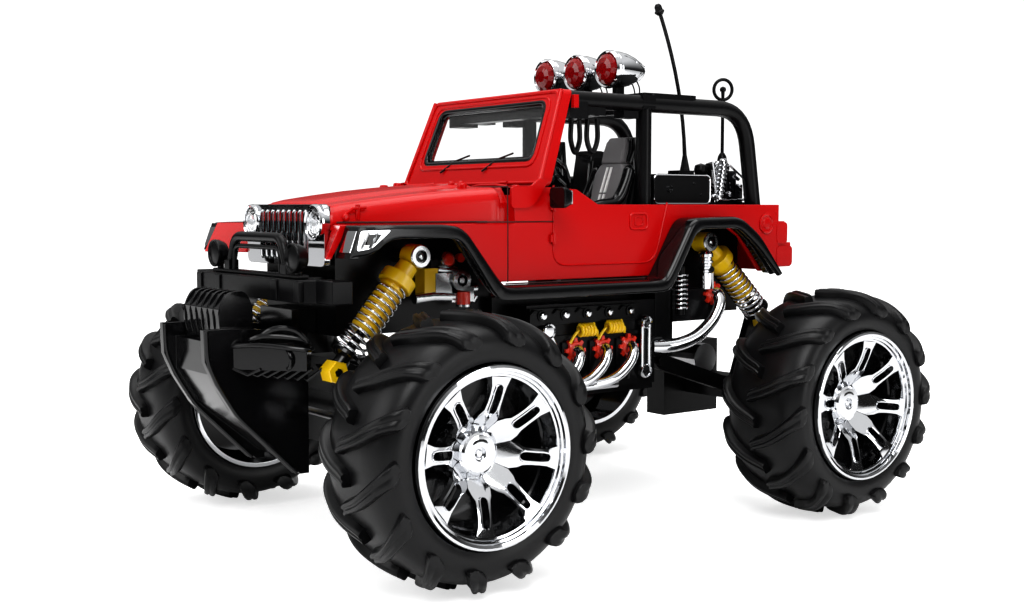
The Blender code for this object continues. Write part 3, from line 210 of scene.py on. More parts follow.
def finish(name, colour, rough=(0.3, 0.4), metallic=0.0, coat=0.0, grain=(900.0, 0.05), mottle=(40.0, 0.85),
           dust=0.0, sheen=0.0, specular=0.5):
    """A moulded, plated or painted surface. The mottle darkens the colour in patches; dust pales what
    faces up."""
    made = bpy.data.materials.get(name)
    if made:
        return made
    made = bpy.data.materials.new(name)
    made.use_nodes = True
    made.diffuse_color = (*colour, 1)
    nodes, links = made.node_tree.nodes, made.node_tree.links
    shader = nodes["Principled BSDF"]
    shader.inputs["Metallic"].default_value = metallic
    shader.inputs["Coat Weight"].default_value = coat
    shader.inputs["Coat Roughness"].default_value = 0.04
    shader.inputs["Sheen Weight"].default_value = sheen
    shader.inputs["Specular IOR Level"].default_value = specular
    texture = nodes.new("ShaderNodeGroup")
    texture.node_tree = grain_group()
    texture.inputs["Grain Scale"].default_value = grain[0]
    texture.inputs["Mottle Scale"].default_value = mottle[0]
    tint = nodes.new("ShaderNodeMix")
    tint.data_type = "RGBA"
    tint.inputs["A"].default_value = (*[c * mottle[1] for c in colour], 1)
    tint.inputs["B"].default_value = (*colour, 1)
    links.new(texture.outputs["Mottle"], tint.inputs["Factor"])
    spread = nodes.new("ShaderNodeMapRange")
    spread.inputs["To Min"].default_value = rough[0]
    spread.inputs["To Max"].default_value = rough[1]
    links.new(texture.outputs["Mottle"], spread.inputs["Value"])
    links.new(spread.outputs["Result"], shader.inputs["Roughness"])
    bump = nodes.new("ShaderNodeBump")
    bump.inputs["Strength"].default_value = grain[1]
    bump.inputs["Distance"].default_value = 0.3 * mm
    links.new(texture.outputs["Height"], bump.inputs["Height"])
    links.new(bump.outputs["Normal"], shader.inputs["Normal"])
    last = tint.outputs["Result"]
    if dust:
        layer = nodes.new("ShaderNodeGroup")
        layer.node_tree = dust_group()
        layer.inputs["Amount"].default_value = dust
        pale = nodes.new("ShaderNodeMix")
        pale.data_type = "RGBA"
        pale.inputs["B"].default_value = (0.32, 0.3, 0.27, 1)
        links.new(layer.outputs["Mask"], pale.inputs["Factor"])
        links.new(last, pale.inputs["A"])
        last = pale.outputs["Result"]
    links.new(last, shader.inputs["Base Color"])
    return made


# Near-black red for lines of painted shade laid in the shell's grooves and creases.
def painted_seam_shade():
    return finish("seam_shadow", (0.05, 0.001, 0.001), (0.5, 0.6), grain=(800.0, 0.05), mottle=(60.0, 0.6))


def red_shell():
    return finish(
        "red_moulding", tuple(colours().shell), (0.2, 0.28), coat=0.06, grain=(320.0, 0.015),
        mottle=(25.0, 0.9), specular=0.2)


def satin_black():
    return finish(
        "satin_black", (0.0035, 0.0035, 0.004), (0.24, 0.36), grain=(1100.0, 0.06), mottle=(60.0, 0.7),
        dust=0.004, specular=0.16)


def gloss_black():
    return finish(
        "gloss_black", (0.004, 0.004, 0.0045), (0.1, 0.18), coat=0.06, grain=(500.0, 0.02),
        mottle=(50.0, 0.8), specular=0.3)


def tyre_rubber():
    return finish(
        "moulded_rubber", (0.0045, 0.0045, 0.005), (0.3, 0.42), grain=(1500.0, 0.1), mottle=(70.0, 0.6),
        specular=0.26)


def chrome():
    return finish(
        "plated_chrome", (0.72, 0.73, 0.75), (0.03, 0.09), metallic=1.0, grain=(260.0, 0.02),
        mottle=(90.0, 0.93))


def dull_chrome():
    return finish(
        "satin_chrome", (0.55, 0.56, 0.57), (0.16, 0.3), metallic=1.0, grain=(700.0, 0.06),
        mottle=(120.0, 0.8))


def damper_yellow():
    return finish(
        "damper_yellow", tuple(colours().damper), (0.28, 0.38), coat=0.2, grain=(700.0, 0.03),
        mottle=(80.0, 0.88))


def seat_grey():
    return finish(
        "seat_moulding", (0.105, 0.1, 0.103), (0.5, 0.62), grain=(1300.0, 0.2), mottle=(90.0, 0.8),
        sheen=0.2)


def stripe_white():
    return finish(
        "stripe_white", (0.75, 0.74, 0.73), (0.45, 0.55), grain=(1300.0, 0.15), mottle=(90.0, 0.9))


def flange_red():
    return finish(
        "flange_red", tuple(colours().flange), (0.25, 0.35), coat=0.3, grain=(800.0, 0.04),
        mottle=(150.0, 0.8))


def steel():
    return finish(
        "turned_steel", (0.55, 0.55, 0.56), (0.24, 0.36), metallic=1.0, grain=(900.0, 0.06),
        mottle=(100.0, 0.85))


def board_green():
    return finish("board_green", (0.01, 0.12, 0.04), (0.35, 0.5), grain=(900.0, 0.05), mottle=(200.0, 0.6))


def cell_blue():
    return finish(
        "cell_blue", (0.02, 0.07, 0.35), (0.25, 0.35), coat=0.3, grain=(400.0, 0.04),
        mottle=(60.0, 0.85))


def clear_pane(name, colour, rough=0.02, ior=1.45, waves=0.02):
    """Clear or tinted moulding that lets light through. Slight waves keep it from being perfectly flat."""
    made = bpy.data.materials.get(name)
    if made:
        return made
    made = bpy.data.materials.new(name)
    made.use_nodes = True
    nodes, links = made.node_tree.nodes, made.node_tree.links
    shader = nodes["Principled BSDF"]
    shader.inputs["Transmission Weight"].default_value = 1.0
    shader.inputs["Roughness"].default_value = rough
    shader.inputs["IOR"].default_value = ior
    texture = nodes.new("ShaderNodeGroup")
    texture.node_tree = grain_group()
    texture.inputs["Grain Scale"].default_value = 120.0
    texture.inputs["Mottle Scale"].default_value = 30.0
    tint = nodes.new("ShaderNodeMix")
    tint.data_type = "RGBA"
    tint.inputs["A"].default_value = (*[c * 0.93 for c in colour], 1)
    tint.inputs["B"].default_value = (*colour, 1)
    links.new(texture.outputs["Mottle"], tint.inputs["Factor"])
    links.new(tint.outputs["Result"], shader.inputs["Base Color"])
    bump = nodes.new("ShaderNodeBump")
    bump.inputs["Strength"].default_value = waves
    bump.inputs["Distance"].default_value = 0.3 * mm
    links.new(texture.outputs["Height"], bump.inputs["Height"])
    links.new(bump.outputs["Normal"], shader.inputs["Normal"])
    return made


def window_clear():
    return clear_pane("window_clear", (0.97, 0.98, 0.98), ior=1.2)


def lamp_clear():
    return clear_pane("lamp_clear", (0.96, 0.97, 0.98), waves=0.3)


def lens_red():
    return finish(
        "lens_red", tuple(colours().lens), (0.04, 0.1), coat=0.3, grain=(150.0, 0.25),
        mottle=(220.0, 0.35), specular=0.4)


# ---------------------------------------------------------------- mesh making


def along(axis, u, v, w):
    """A point from in-plane coordinates u, v and w along the axis. In X planes u, v are Y, Z."""
    return {"X": (w, u, v), "Y": (u, w, v), "Z": (u, v, w)}[axis]


def block(shape, low, high, paint=0):
    middle = [(a + b) / 2 for a, b in zip(low, high)]
    size = [b - a for a, b in zip(low, high)]
    made = bmesh.ops.create_cube(
        shape, size=1, matrix=Matrix.Translation(middle) @ Matrix.Diagonal((*size, 1)))
    for face in {f for v in made["verts"] for f in v.link_faces}:
        face.material_index = paint


def faces_between(shape, rings, paint, closed=False):
    """Skins a list of vertex rings; a ring of one vertex is a pole."""
    pairs = list(zip(rings, rings[1:] + rings[:1])) if closed else list(zip(rings, rings[1:]))
    for one, two in pairs:
        count = max(len(one), len(two))
        for i in range(count):
            j = (i + 1) % count
            corners = list(
                dict.fromkeys([one[i % len(one)], one[j % len(one)], two[j % len(two)], two[i % len(two)]]))
            if len(corners) > 2:
                shape.faces.new(corners).material_index = paint
    if not closed:
        for ring in (rings[0], rings[-1]):
            if len(ring) > 2:
                shape.faces.new(ring).material_index = paint


def prism(shape, outline, axis, low, high, paint=0):
    faces_between(
        shape, [[shape.verts.new(along(axis, u, v, w)) for u, v in outline] for w in (low, high)], paint)


def loft(shape, sections, paint=0, closed=False):
    faces_between(shape, [[shape.verts.new(p) for p in points] for points in sections], paint, closed)


def turned(shape, profile, axis, centre, paint=0, segments=32, closed=False):
    """A profile of (radius, position along the axis) turned about it."""
    turns = [2 * math.pi * i / segments - math.pi / 2 for i in range(segments)]
    centre = Vector(centre)
    rings = []
    for radius, reach in profile:
        spread = [(0, 0)] if radius < 1e-9 else [
            (radius * math.cos(t), radius * math.sin(t)) for t in turns]
        rings.append([shape.verts.new(centre + Vector(along(axis, u, v, reach))) for u, v in spread])
    faces_between(shape, rings, paint, closed)


def spun(shape, profile, start, end, paint=0, segments=24):
    """A profile of (radius, share of the way) turned about the line from start to end; one that ends
    where it began is a ring."""
    start, end = Vector(start), Vector(end)
    closed = profile[0] == profile[-1]
    profile = profile[:-1] if closed else profile
    ahead = (end - start).normalized()
    side = ahead.orthogonal().normalized()
    up = ahead.cross(side)
    turns = [2 * math.pi * i / segments for i in range(segments)]
    rings = []
    for radius, share in profile:
        point = start.lerp(end, share)
        if radius < 1e-9:
            rings.append([shape.verts.new(point)])
        else:
            rings.append(
                [shape.verts.new(point + (side * math.cos(t) + up * math.sin(t)) * radius) for t in turns])
    faces_between(shape, rings, paint, closed)


def tube(shape, path, radius, sides=12, paint=0, ring=False):
    points = [Vector(p) for p in path]
    radii = radius if isinstance(radius, (list, tuple)) else [radius] * len(points)
    count = len(points)
    side = None
    rings = []
    for i, point in enumerate(points):
        before = points[i - 1] if i or ring else point
        after = points[(i + 1) % count] if i + 1 < count or ring else point
        ahead = (after - before).normalized()
        side = side or ahead.orthogonal().normalized()
        side = (side - ahead * side.dot(ahead)).normalized()
        up = ahead.cross(side)
        turns = [2 * math.pi * k / sides for k in range(sides)]
        rings.append(
            [shape.verts.new(point + (side * math.cos(t) + up * math.sin(t)) * radii[i]) for t in turns])
    faces_between(shape, rings, paint, closed=ring)


def smooth_path(points, steps=6):
    """Catmull-Rom curve through the points."""
    knots = [Vector(p) for p in points]
    ends = [knots[0] * 2 - knots[1], *knots, knots[-1] * 2 - knots[-2]]
    path = []
    for a, b, c, d in zip(ends, ends[1:], ends[2:], ends[3:]):
        for i in range(steps):
            t = i / steps
            path.append(
                0.5
                * (
                    2 * b + (c - a) * t + (2 * a - 5 * b + 4 * c - d) * t * t
                    + (3 * b - a - 3 * c + d) * t ** 3))
    return [*path, knots[-1]]


def rounded(points, radius, steps=5):
    """An outline with each corner turned into an arc."""
    out = []
    for i, corner in enumerate(points):
        here = Vector(corner)
        back, on = Vector(points[i - 1]) - here, Vector(points[(i + 1) % len(points)]) - here
        reach = min(radius, back.length / 2.2, on.length / 2.2)
        first, last = here + back.normalized() * reach, here + on.normalized() * reach
        for k in range(steps + 1):
            t = k / steps
            out.append(tuple(first * (1 - t) ** 2 + here * 2 * t * (1 - t) + last * t * t))
    return out


def from_node(shape, node, paint=0):
    """Adds a merged copy of a CAD node, with its flat faces whole again."""
    copy = bmesh.new()
    copy.from_mesh(frame["nodes"][node].data)
    bmesh.ops.remove_doubles(copy, verts=copy.verts, dist=0.002 * mm)
    bmesh.ops.dissolve_limit(copy, angle_limit=math.radians(1), verts=copy.verts, edges=copy.edges)
    for face in copy.faces:
        face.material_index = paint
    held = bpy.data.meshes.new("held")
    copy.to_mesh(held)
    copy.free()
    shape.from_mesh(held)
    bpy.data.meshes.remove(held)


def flatten(made):
    """Turns the evaluated object into its own plain mesh."""
    bpy.context.view_layer.update()
    depsgraph = bpy.context.evaluated_depsgraph_get()
    data = bpy.data.meshes.new_from_object(made.evaluated_get(depsgraph))
    made.modifiers.clear()
    made.data = data
    return made


def cutter_object(shape):
    bmesh.ops.recalc_face_normals(shape, faces=shape.faces)
    data = bpy.data.meshes.new("cutter")
    shape.to_mesh(data)
    shape.free()
    made = bpy.data.objects.new("cutter", data)
    bpy.context.scene.collection.objects.link(made)
    return made


def piece(
    name, shape, paints, body, replaces=(), round_edges=0.0, steps=2, grooves=None,
    tidy=True, weighted=True):
    """Makes the shape an object of its own that rides on a CAD body."""
    if tidy:
        bmesh.ops.recalc_face_normals(shape, faces=shape.faces)
    data = bpy.data.meshes.new(name)
    shape.to_mesh(data)
    shape.free()
    for paint in paints:
        data.materials.append(paint)
    made = bpy.data.objects.new(name, data)
    bpy.context.scene.collection.objects.link(made)
    if round_edges:
        step = made.modifiers.new("Rounding", "BEVEL")
        step.width = round_edges
        step.segments = steps
        step.limit_method = "ANGLE"
        step.angle_limit = math.radians(28)
        flatten(made)
    if grooves:
        cutter = cutter_object(grooves)
        step = made.modifiers.new("Grooves", "BOOLEAN")
        step.operation = "DIFFERENCE"
        step.solver = "EXACT"
        step.use_self = True
        step.object = cutter
        flatten(made)
        bpy.data.objects.remove(cutter)
    made.data.shade_smooth()
    made.data.set_sharp_from_angle(angle=SMOOTH_ANGLE)
    if weighted:
        step = made.modifiers.new("Flat faces stay flat", "WEIGHTED_NORMAL")
        step.keep_sharp = True
        step.weight = 100
        flatten(made)
    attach(made, body)
    if replaces:
        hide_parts(*replaces)
    return made


# ---------------------------------------------------------------- geometry node trees


def tree_of(name, inputs):
    tree = bpy.data.node_groups.new(name, "GeometryNodeTree")
    tree.interface.new_socket(name="Geometry", in_out="INPUT", socket_type="NodeSocketGeometry")
    for label, kind, default in inputs:
        socket = tree.interface.new_socket(name=label, in_out="INPUT", socket_type=kind)
        if default is not None:
            socket.default_value = default
    tree.interface.new_socket(name="Geometry", in_out="OUTPUT", socket_type="NodeSocketGeometry")
    return tree, tree.nodes.new("NodeGroupInput"), tree.nodes.new("NodeGroupOutput")


def run_tree(made, tree, values):
    """Runs a tree on an object once and keeps the plain mesh."""
    step = made.modifiers.new("Pattern", "NODES")
    step.node_group = tree
    for item in tree.interface.items_tree:
        if item.in_out == "INPUT" and item.name in values and item.name != "Geometry":
            step[item.identifier] = values[item.name]
    return flatten(made)


def ring_tree():
    """Copies of the geometry set round the X axis through Centre."""
    found = bpy.data.node_groups.get("around_the_wheel")
    if found:
        return found
    tree, given, out = tree_of("around_the_wheel", [
        ("Count", "NodeSocketInt", 14), ("Centre", "NodeSocketVector", (0, 0, 0)),
        ("Phase", "NodeSocketFloat", 0.0), ("Finish", "NodeSocketMaterial", None),
    ])
    nodes, links = tree.nodes, tree.links
    points = nodes.new("GeometryNodePoints")
    index = nodes.new("GeometryNodeInputIndex")
    step = nodes.new("ShaderNodeMath")
    step.operation = "DIVIDE"
    step.inputs[0].default_value = 2 * math.pi
    angle = nodes.new("ShaderNodeMath")
    angle.operation = "MULTIPLY_ADD"
    turn = nodes.new("ShaderNodeCombineXYZ")
    copies = nodes.new("GeometryNodeInstanceOnPoints")
    real = nodes.new("GeometryNodeRealizeInstances")
    paint = nodes.new("GeometryNodeSetMaterial")
    links.new(given.outputs["Count"], points.inputs["Count"])
    links.new(given.outputs["Centre"], points.inputs["Position"])
    links.new(given.outputs["Count"], step.inputs[1])
    links.new(index.outputs[0], angle.inputs[0])
    links.new(step.outputs[0], angle.inputs[1])
    links.new(given.outputs["Phase"], angle.inputs[2])
    links.new(angle.outputs[0], turn.inputs["X"])
    links.new(points.outputs[0], copies.inputs["Points"])
    links.new(given.outputs["Geometry"], copies.inputs["Instance"])
    links.new(turn.outputs[0], copies.inputs["Rotation"])
    links.new(copies.outputs[0], real.inputs[0])
    links.new(real.outputs[0], paint.inputs["Geometry"])
    links.new(given.outputs["Finish"], paint.inputs["Material"])
    links.new(paint.outputs[0], out.inputs[0])
    return tree


def row_tree():
    """Copies of the geometry set in a row from Start, Step apart."""
    found = bpy.data.node_groups.get("in_a_row")
    if found:
        return found
    tree, given, out = tree_of("in_a_row", [
        ("Count", "NodeSocketInt", 5), ("Start", "NodeSocketVector", (0, 0, 0)),
        ("Step", "NodeSocketVector", (0, 0, 0)), ("Finish", "NodeSocketMaterial", None),
    ])
    nodes, links = tree.nodes, tree.links
    points = nodes.new("GeometryNodePoints")
    index = nodes.new("GeometryNodeInputIndex")
    place = nodes.new("ShaderNodeVectorMath")
    place.operation = "MULTIPLY_ADD"
    copies = nodes.new("GeometryNodeInstanceOnPoints")
    real = nodes.new("GeometryNodeRealizeInstances")
    paint = nodes.new("GeometryNodeSetMaterial")
    links.new(given.outputs["Count"], points.inputs["Count"])
    links.new(index.outputs[0], place.inputs[0])
    links.new(given.outputs["Step"], place.inputs[1])
    links.new(given.outputs["Start"], place.inputs[2])
    links.new(place.outputs[0], points.inputs["Position"])
    links.new(points.outputs[0], copies.inputs["Points"])
    links.new(given.outputs["Geometry"], copies.inputs["Instance"])
    links.new(copies.outputs[0], real.inputs[0])
    links.new(real.outputs[0], paint.inputs["Geometry"])
    links.new(given.outputs["Finish"], paint.inputs["Material"])
    links.new(paint.outputs[0], out.inputs[0])
    return tree


def coil_tree():
    """A wire coil of given turns that stands on Foot, turned by Rotation."""
    found = bpy.data.node_groups.get("wound_coil")
    if found:
        return found
    tree, given, out = tree_of("wound_coil", [
        ("Turns", "NodeSocketFloat", 10.0), ("Radius", "NodeSocketFloat", 7 * mm),
        ("Wire", "NodeSocketFloat", 0.7 * mm),
        ("Height", "NodeSocketFloat", 40 * mm), ("Foot", "NodeSocketVector", (0, 0, 0)),
        ("Rotation", "NodeSocketVector", (0, 0, 0)), ("Finish", "NodeSocketMaterial", None),
    ])
    nodes, links = tree.nodes, tree.links
    spiral = nodes.new("GeometryNodeCurveSpiral")
    spiral.inputs["Resolution"].default_value = 20
    wire = nodes.new("GeometryNodeCurvePrimitiveCircle")
    wire.inputs["Resolution"].default_value = 8
    skin = nodes.new("GeometryNodeCurveToMesh")
    skin.inputs["Fill Caps"].default_value = True
    place = nodes.new("GeometryNodeTransform")
    real = nodes.new("GeometryNodeRealizeInstances")
    paint = nodes.new("GeometryNodeSetMaterial")
    links.new(given.outputs["Turns"], spiral.inputs["Rotations"])
    links.new(given.outputs["Radius"], spiral.inputs["Start Radius"])
    links.new(given.outputs["Radius"], spiral.inputs["End Radius"])
    links.new(given.outputs["Height"], spiral.inputs["Height"])
    links.new(given.outputs["Wire"], wire.inputs["Radius"])
    links.new(spiral.outputs[0], skin.inputs["Curve"])
    links.new(wire.outputs[0], skin.inputs["Profile Curve"])
    links.new(skin.outputs[0], place.inputs["Geometry"])
    links.new(given.outputs["Foot"], place.inputs["Translation"])
    links.new(given.outputs["Rotation"], place.inputs["Rotation"])
    links.new(place.outputs[0], real.inputs[0])
    links.new(real.outputs[0], paint.inputs["Geometry"])
    links.new(given.outputs["Finish"], paint.inputs["Material"])
    links.new(paint.outputs[0], out.inputs[0])
    return tree


def add_pattern(shape, unit, tree, values):
    """Repeats the unit with a tree and adds the result to the shape."""
    bmesh.ops.recalc_face_normals(unit, faces=unit.faces)
    data = bpy.data.meshes.new("unit")
    unit.to_mesh(data)
    unit.free()
    made = bpy.data.objects.new("unit", data)
    bpy.context.scene.collection.objects.link(made)
    run_tree(made, tree, values)
    for face in made.data.polygons:
        face.material_index = values.get("Paint", 0)
    shape.from_mesh(made.data)
    bpy.data.objects.remove(made)


def body_of(node):
    for body, nodes in frame["record"]["behaviour"]["bodies"].items():
        if node in nodes:
            return body
    raise ValueError(f"no body holds {node}")


# ---------------------------------------------------------------- wheels


CARCASS_INSET = 2.2 * mm


def carcass_point(turn):
    """Radius and distance from the middle of the tread, at a turn of 0 at the sidewall to 90 degrees at
    the crown."""
    half = TYRE_WIDTH / 2 - CARCASS_INSET
    seat = TYRE_RADIUS - 17 * mm
    crown = TYRE_RADIUS - sizes().lug_height - seat
    return seat + crown * math.sin(turn) ** 0.8, half * math.cos(turn) ** 0.62


def carcass_out(turn):
    """Direction (radius, distance from the middle) that points straight off the carcass."""
    step = math.radians(1.5)
    r0, x0 = carcass_point(max(turn - step, 0.0))
    r1, x1 = carcass_point(min(turn + step, math.radians(90)))
    away = Vector((x0 - x1, r1 - r0)).normalized()
    return away.x, away.y


def carcass_profile():
    """The tyre's section from bead to bead as (radius, distance from its middle)."""
    half = TYRE_WIDTH / 2 - CARCASS_INSET
    side = [carcass_point(math.radians(a)) for a in (0, 8, 18, 30, 42, 54, 66, 78, 90)]
    bead = [
        (RIM_RADIUS + 0.4 * mm, half - 4.5 * mm), (RIM_RADIUS + 0.8 * mm, half - 1.2 * mm),
        (RIM_RADIUS + 3 * mm, half - 0.3 * mm)]
    near = bead + side
    return near + [(r, -x) for r, x in reversed(near[:-1])]


def lug(shape, side):
    """One paddle of the tread, round-ended low on the sidewall, narrower and swept towards the middle."""
    height = sizes().lug_height
    stations = 18
    rings = []
    for i in range(stations + 1):
        t = i / stations
        turn = math.radians(7 + 90 * t)
        over = max(0.0, turn - math.radians(88)) * 30 * mm
        base_r, base_x = carcass_point(min(turn, math.radians(89)))
        out_r, out_x = carcass_out(min(turn, math.radians(89)))
        base_x -= over
        sweep = math.radians(19 * t ** 1.25)
        half = (5.1 - 2.3 * t ** 0.8) * mm
        half *= math.sqrt(max(0.06, 1 - (1 - min(t / 0.13, 1)) ** 2))
        lift = height * min(1.0, 0.45 + t * 4)
        ring = []
        for share, w in ((-0.3, 1.25), (0.55, 1.12), (0.86, 1.0), (1.0, 0.78), (1.0, 0.36), (0.86, 0.12), (0.86, -0.12), (1.0, -0.36), (1.0, -0.78), (0.86, -1.0),
                         (0.55, -1.12), (-0.3, -1.25)):
            r = min(base_r + out_r * lift * share, TYRE_RADIUS)
            x = min(base_x + out_x * lift * share, TYRE_WIDTH / 2)
            angle = sweep + w * half / r
            ring.append(shape.verts.new((side * x, r * math.cos(angle), r * math.sin(angle))))
        rings.append(ring)
    faces_between(shape, rings, 0)


class TRUCK_OT_tyres(bpy.types.Operator):
    """Balloon tyres with swept paddle lugs"""

    bl_idname = "truck.tyres"
    bl_label = "Tyres"

    def execute(self, context):
        middle = (TYRE_IN + TYRE_OUT) / 2
        count = sizes().lug_count
        for end, y in ENDS:
            for name, side in SIDES:
                node = f"tyre_{end}_{name}"
                centre = Vector((side * middle, y, AXLE_Z))
                shape = bmesh.new()
                turned(shape, carcass_profile(), "X", centre, segments=72, closed=True)
                for half in (1, -1):
                    one = bmesh.new()
                    lug(one, half)
                    phase = 0 if half > 0 else math.pi / count
                    add_pattern(
                        shape, one, ring_tree(),
                        {"Count": count, "Centre": centre, "Phase": phase, "Finish": tyre_rubber()})
                piece(
                    f"tread_{end}_{name}", shape, [tyre_rubber()], body_of(node), [node],
                    tidy=False)
        return {"FINISHED"}


def dish(radius):
    """Depth of the spokes' face behind the rim's lip, at a distance from the axle."""
    steps = ((9, 17.6), (12, 15.4), (16, 11.6), (20, 8.4), (26, 5.8), (32.6, 3.9), (36, 3.1))
    radius = max(radius / mm, steps[0][0])
    for (near, low), (far, high) in zip(steps, steps[1:]):
        if radius <= far:
            return (low + (high - low) * (radius - near) / (far - near)) * mm
    return steps[-1][1] * mm


def rim_shape(shape, side, y):
    """Stepped lip and barrel in chrome, with the black drum behind the spokes, the hub cap and its
    screw."""
    centre = (0, y, AXLE_Z)
    out, back = TYRE_OUT, RIM_LOW.x
    r = RIM_RADIUS

    def ring(profile, paint=0, segments=72, closed=True):
        turned(shape, [(a, side * b) for a, b in profile], "X", centre, paint, segments, closed)

    ring([(r, back), (r, out - 1.6 * mm), (r - 0.5 * mm, out - 0.4 * mm), (r - 1.6 * mm, out - 0.05 * mm), (r - 2.9 * mm, out - 0.5 * mm),
          (r - 3.3 * mm, out - 1.9 * mm), (r - 4.3 * mm, out - 2.1 * mm),
          (r - 4.7 * mm, out - 3.3 * mm), (r - 5.6 * mm, out - 3.5 * mm),
          (r - 6.2 * mm, out - 5 * mm), (
              r - 7.4 * mm, out - 14 * mm), (r - 3.4 * mm, out - 16 * mm), (r - 2.4 * mm, back)])
    drum = r - 8 * mm
    ring([(r - 6.9 * mm, out - 12 * mm), (drum, out - 13 * mm), (drum - 1 * mm, out - 27 * mm), (11 * mm, out - 27 * mm), (11 * mm, out - 28.5 * mm),
          (drum + 2 * mm, out - 28.5 * mm)], 1, 48)
    hub = out - dish(9 * mm)
    ring(
        [
            (15.2 * mm, hub + 3.6 * mm), (10 * mm, hub - 0.8 * mm), (9 * mm, hub - 3 * mm),
            (12 * mm, hub - 3 * mm)],
        0, 48)
    ring([(0, hub + 2.4 * mm), (2.9 * mm, hub + 2.4 * mm), (3.1 * mm, hub + 3.9 * mm), (4 * mm, hub + 4.2 * mm), (8.6 * mm, hub + 3.7 * mm),
          (9.7 * mm, hub + 2.9 * mm), (10.2 * mm, hub + 1.2 * mm), (10.4 * mm, hub - 2 * mm),
          (11.6 * mm, hub - 2.4 * mm), (11.8 * mm, hub - 9 * mm),
          (10.9 * mm, hub - 10 * mm), (0, hub - 10 * mm)], 0, 40, False)
    ring(
        [(0, hub + 3.4 * mm), (1.5 * mm, hub + 3.2 * mm), (2.2 * mm, hub + 2.3 * mm), (0, hub + 1 * mm)],
        0, 16, False)
    crescent = [
        (
            side * (hub + 3.75 * mm), y + 6.1 * mm * math.sin(math.radians(a)),
            AXLE_Z + 6.1 * mm * math.cos(math.radians(a)))
        for a in range(-42, 43, 12)]
    tube(shape, crescent, [0.35 * mm, *[0.75 * mm] * (len(crescent) - 2), 0.35 * mm], 8, 1)


def spoke(shape, side):
    """One spoke, fanned out at the hub, round a slot with round ends. It stands along +Z from the axle."""
    def loop(stations, sink):
        left = [(-w * mm, r * mm) for r, w in stations]
        right = [(w * mm, r * mm) for r, w in reversed(stations)]
        return [shape.verts.new((side * (TYRE_OUT - dish(r) - sink), u, r)) for u, r in left + right]

    outer = [
        (9.6, 3.75), (12, 4.8), (15.4, 6.15), (18.4, 5.3), (20.4, 4.1), (24, 3.75), (28, 3.75),
        (31.6, 4.0), (36.2, 5.4)]
    slot = [
        (18.9, 0.6), (19.3, 1.4), (20, 1.9), (21.4, 2.05), (23.5, 2.05), (26, 2.05), (29, 2.05),
        (31.6, 1.7), (32.4, 0.7)]
    rings = [loop(outer, 0), loop([(r, w + 0.75) for r, w in slot], -0.15 * mm), loop([(r, w + 0.5) for r, w in slot], -0.8 * mm),
             loop(slot, -0.8 * mm), loop(slot, 3.2 * mm), loop(outer, 3.6 * mm)]
    faces_between(shape, rings, 0, closed=True)


class TRUCK_OT_rims(bpy.types.Operator):
    """Deep plated rims with slotted spokes"""

    bl_idname = "truck.rims"
    bl_label = "Rims"

    def execute(self, context):
        for end, y in ENDS:
            for name, side in SIDES:
                node = f"rim_{end}_{name}"
                shape = bmesh.new()
                rim_shape(shape, side, y)
                one = bmesh.new()
                spoke(one, side)
                add_pattern(shape, one, ring_tree(), {"Count": sizes().spoke_count, "Centre": Vector((0, y, AXLE_Z)),
                                                      "Phase": side * math.radians(-7), "Finish": chrome()})
                piece(
                    f"plated_{end}_{name}", shape, [chrome(), gloss_black()], body_of(node), [node],
                    0.3 * mm, 2)
        return {"FINISHED"}


# ---------------------------------------------------------------- shell


def soften(stations, reach=5.0, steps=4):
    """Rounds the corners of a path whose points are lists of numbers; the first two set the distances."""
    points = [Vector(p) for p in stations]
    out = [points[0]]
    for before, here, after in zip(points, points[1:], points[2:]):
        back, on = before - here, after - here
        share_back = min(0.45, reach / max(back.to_2d().length, 1e-6))
        share_on = min(0.45, reach / max(on.to_2d().length, 1e-6))
        first, last = here + back * share_back, here + on * share_on
        for k in range(steps + 1):
            t = k / steps
            out.append(first * (1 - t) ** 2 + here * 2 * t * (1 - t) + last * t * t)
    out.append(points[-1])
    return out


def hood_station(y, half, top):
    """Cross-section of the hood with rolled shoulders and a raised middle."""
    low, roll = 169.4, 8.5
    half, top = half + 0.4, top + 0.3
    side = [(half, low), (half, top - roll)]
    side += [
        (half - roll + roll * math.cos(a), top - roll + roll * math.sin(a))
        for a in (math.radians(d) for d in (18, 36, 54, 72, 90))]
    bulge = half * 0.52
    side += [
        (bulge + 4, top + 0.35), (bulge + 1.6, top + 0.9), (bulge - 1, top + 1.9),
        (bulge - 4, top + 2.2), (bulge * 0.4, top + 2.5)]
    return [at(x, y, z) for x, z in side] + [at(-x, y, z) for x, z in reversed(side)]


def hood(shape):
    stations = []
    for y, tuck, drop in ((-156.4, 2.2, 5.4), (-156.1, 1.0, 3.0), (-155.2, 0.3, 1.3), (-153.4, 0, 0.4), (-148, 0, 0), (-130, 0, 0),
                          (-110, 0, 0), (-90, 0, 0), (-70, 0, 0), (-65.2, 0, 0), (-64.4, 0.5, 0.7)):
        share = (y + 154.8) / (154.8 - 60.4)
        stations.append(
            hood_station(
                y, 44 + 18 * share - tuck,
                177 + 10 * share + 1.2 * math.sin(math.pi * min(max(share, 0), 1)) - drop))
    loft(shape, stations)


def knob(shape, x, y, z, radius, height, paint=0):
    """A low round boss on a face that looks up."""
    profile = [(radius, -1), (radius, height * 0.5), (radius * 0.8, height * 0.9), (0, height)]
    turned(shape, [(r * mm, h * mm) for r, h in profile], "Z", at(x, y, z), paint, 16)


def side_boss(shape, side, x, y, z, profile, paint=0, segments=24):
    """Something round on a side face; the profile is radius and height off the face."""
    turned(shape, [(r * mm, side * (x + h) * mm) for r, h in profile], "X", at(0, y, z), paint, segments)


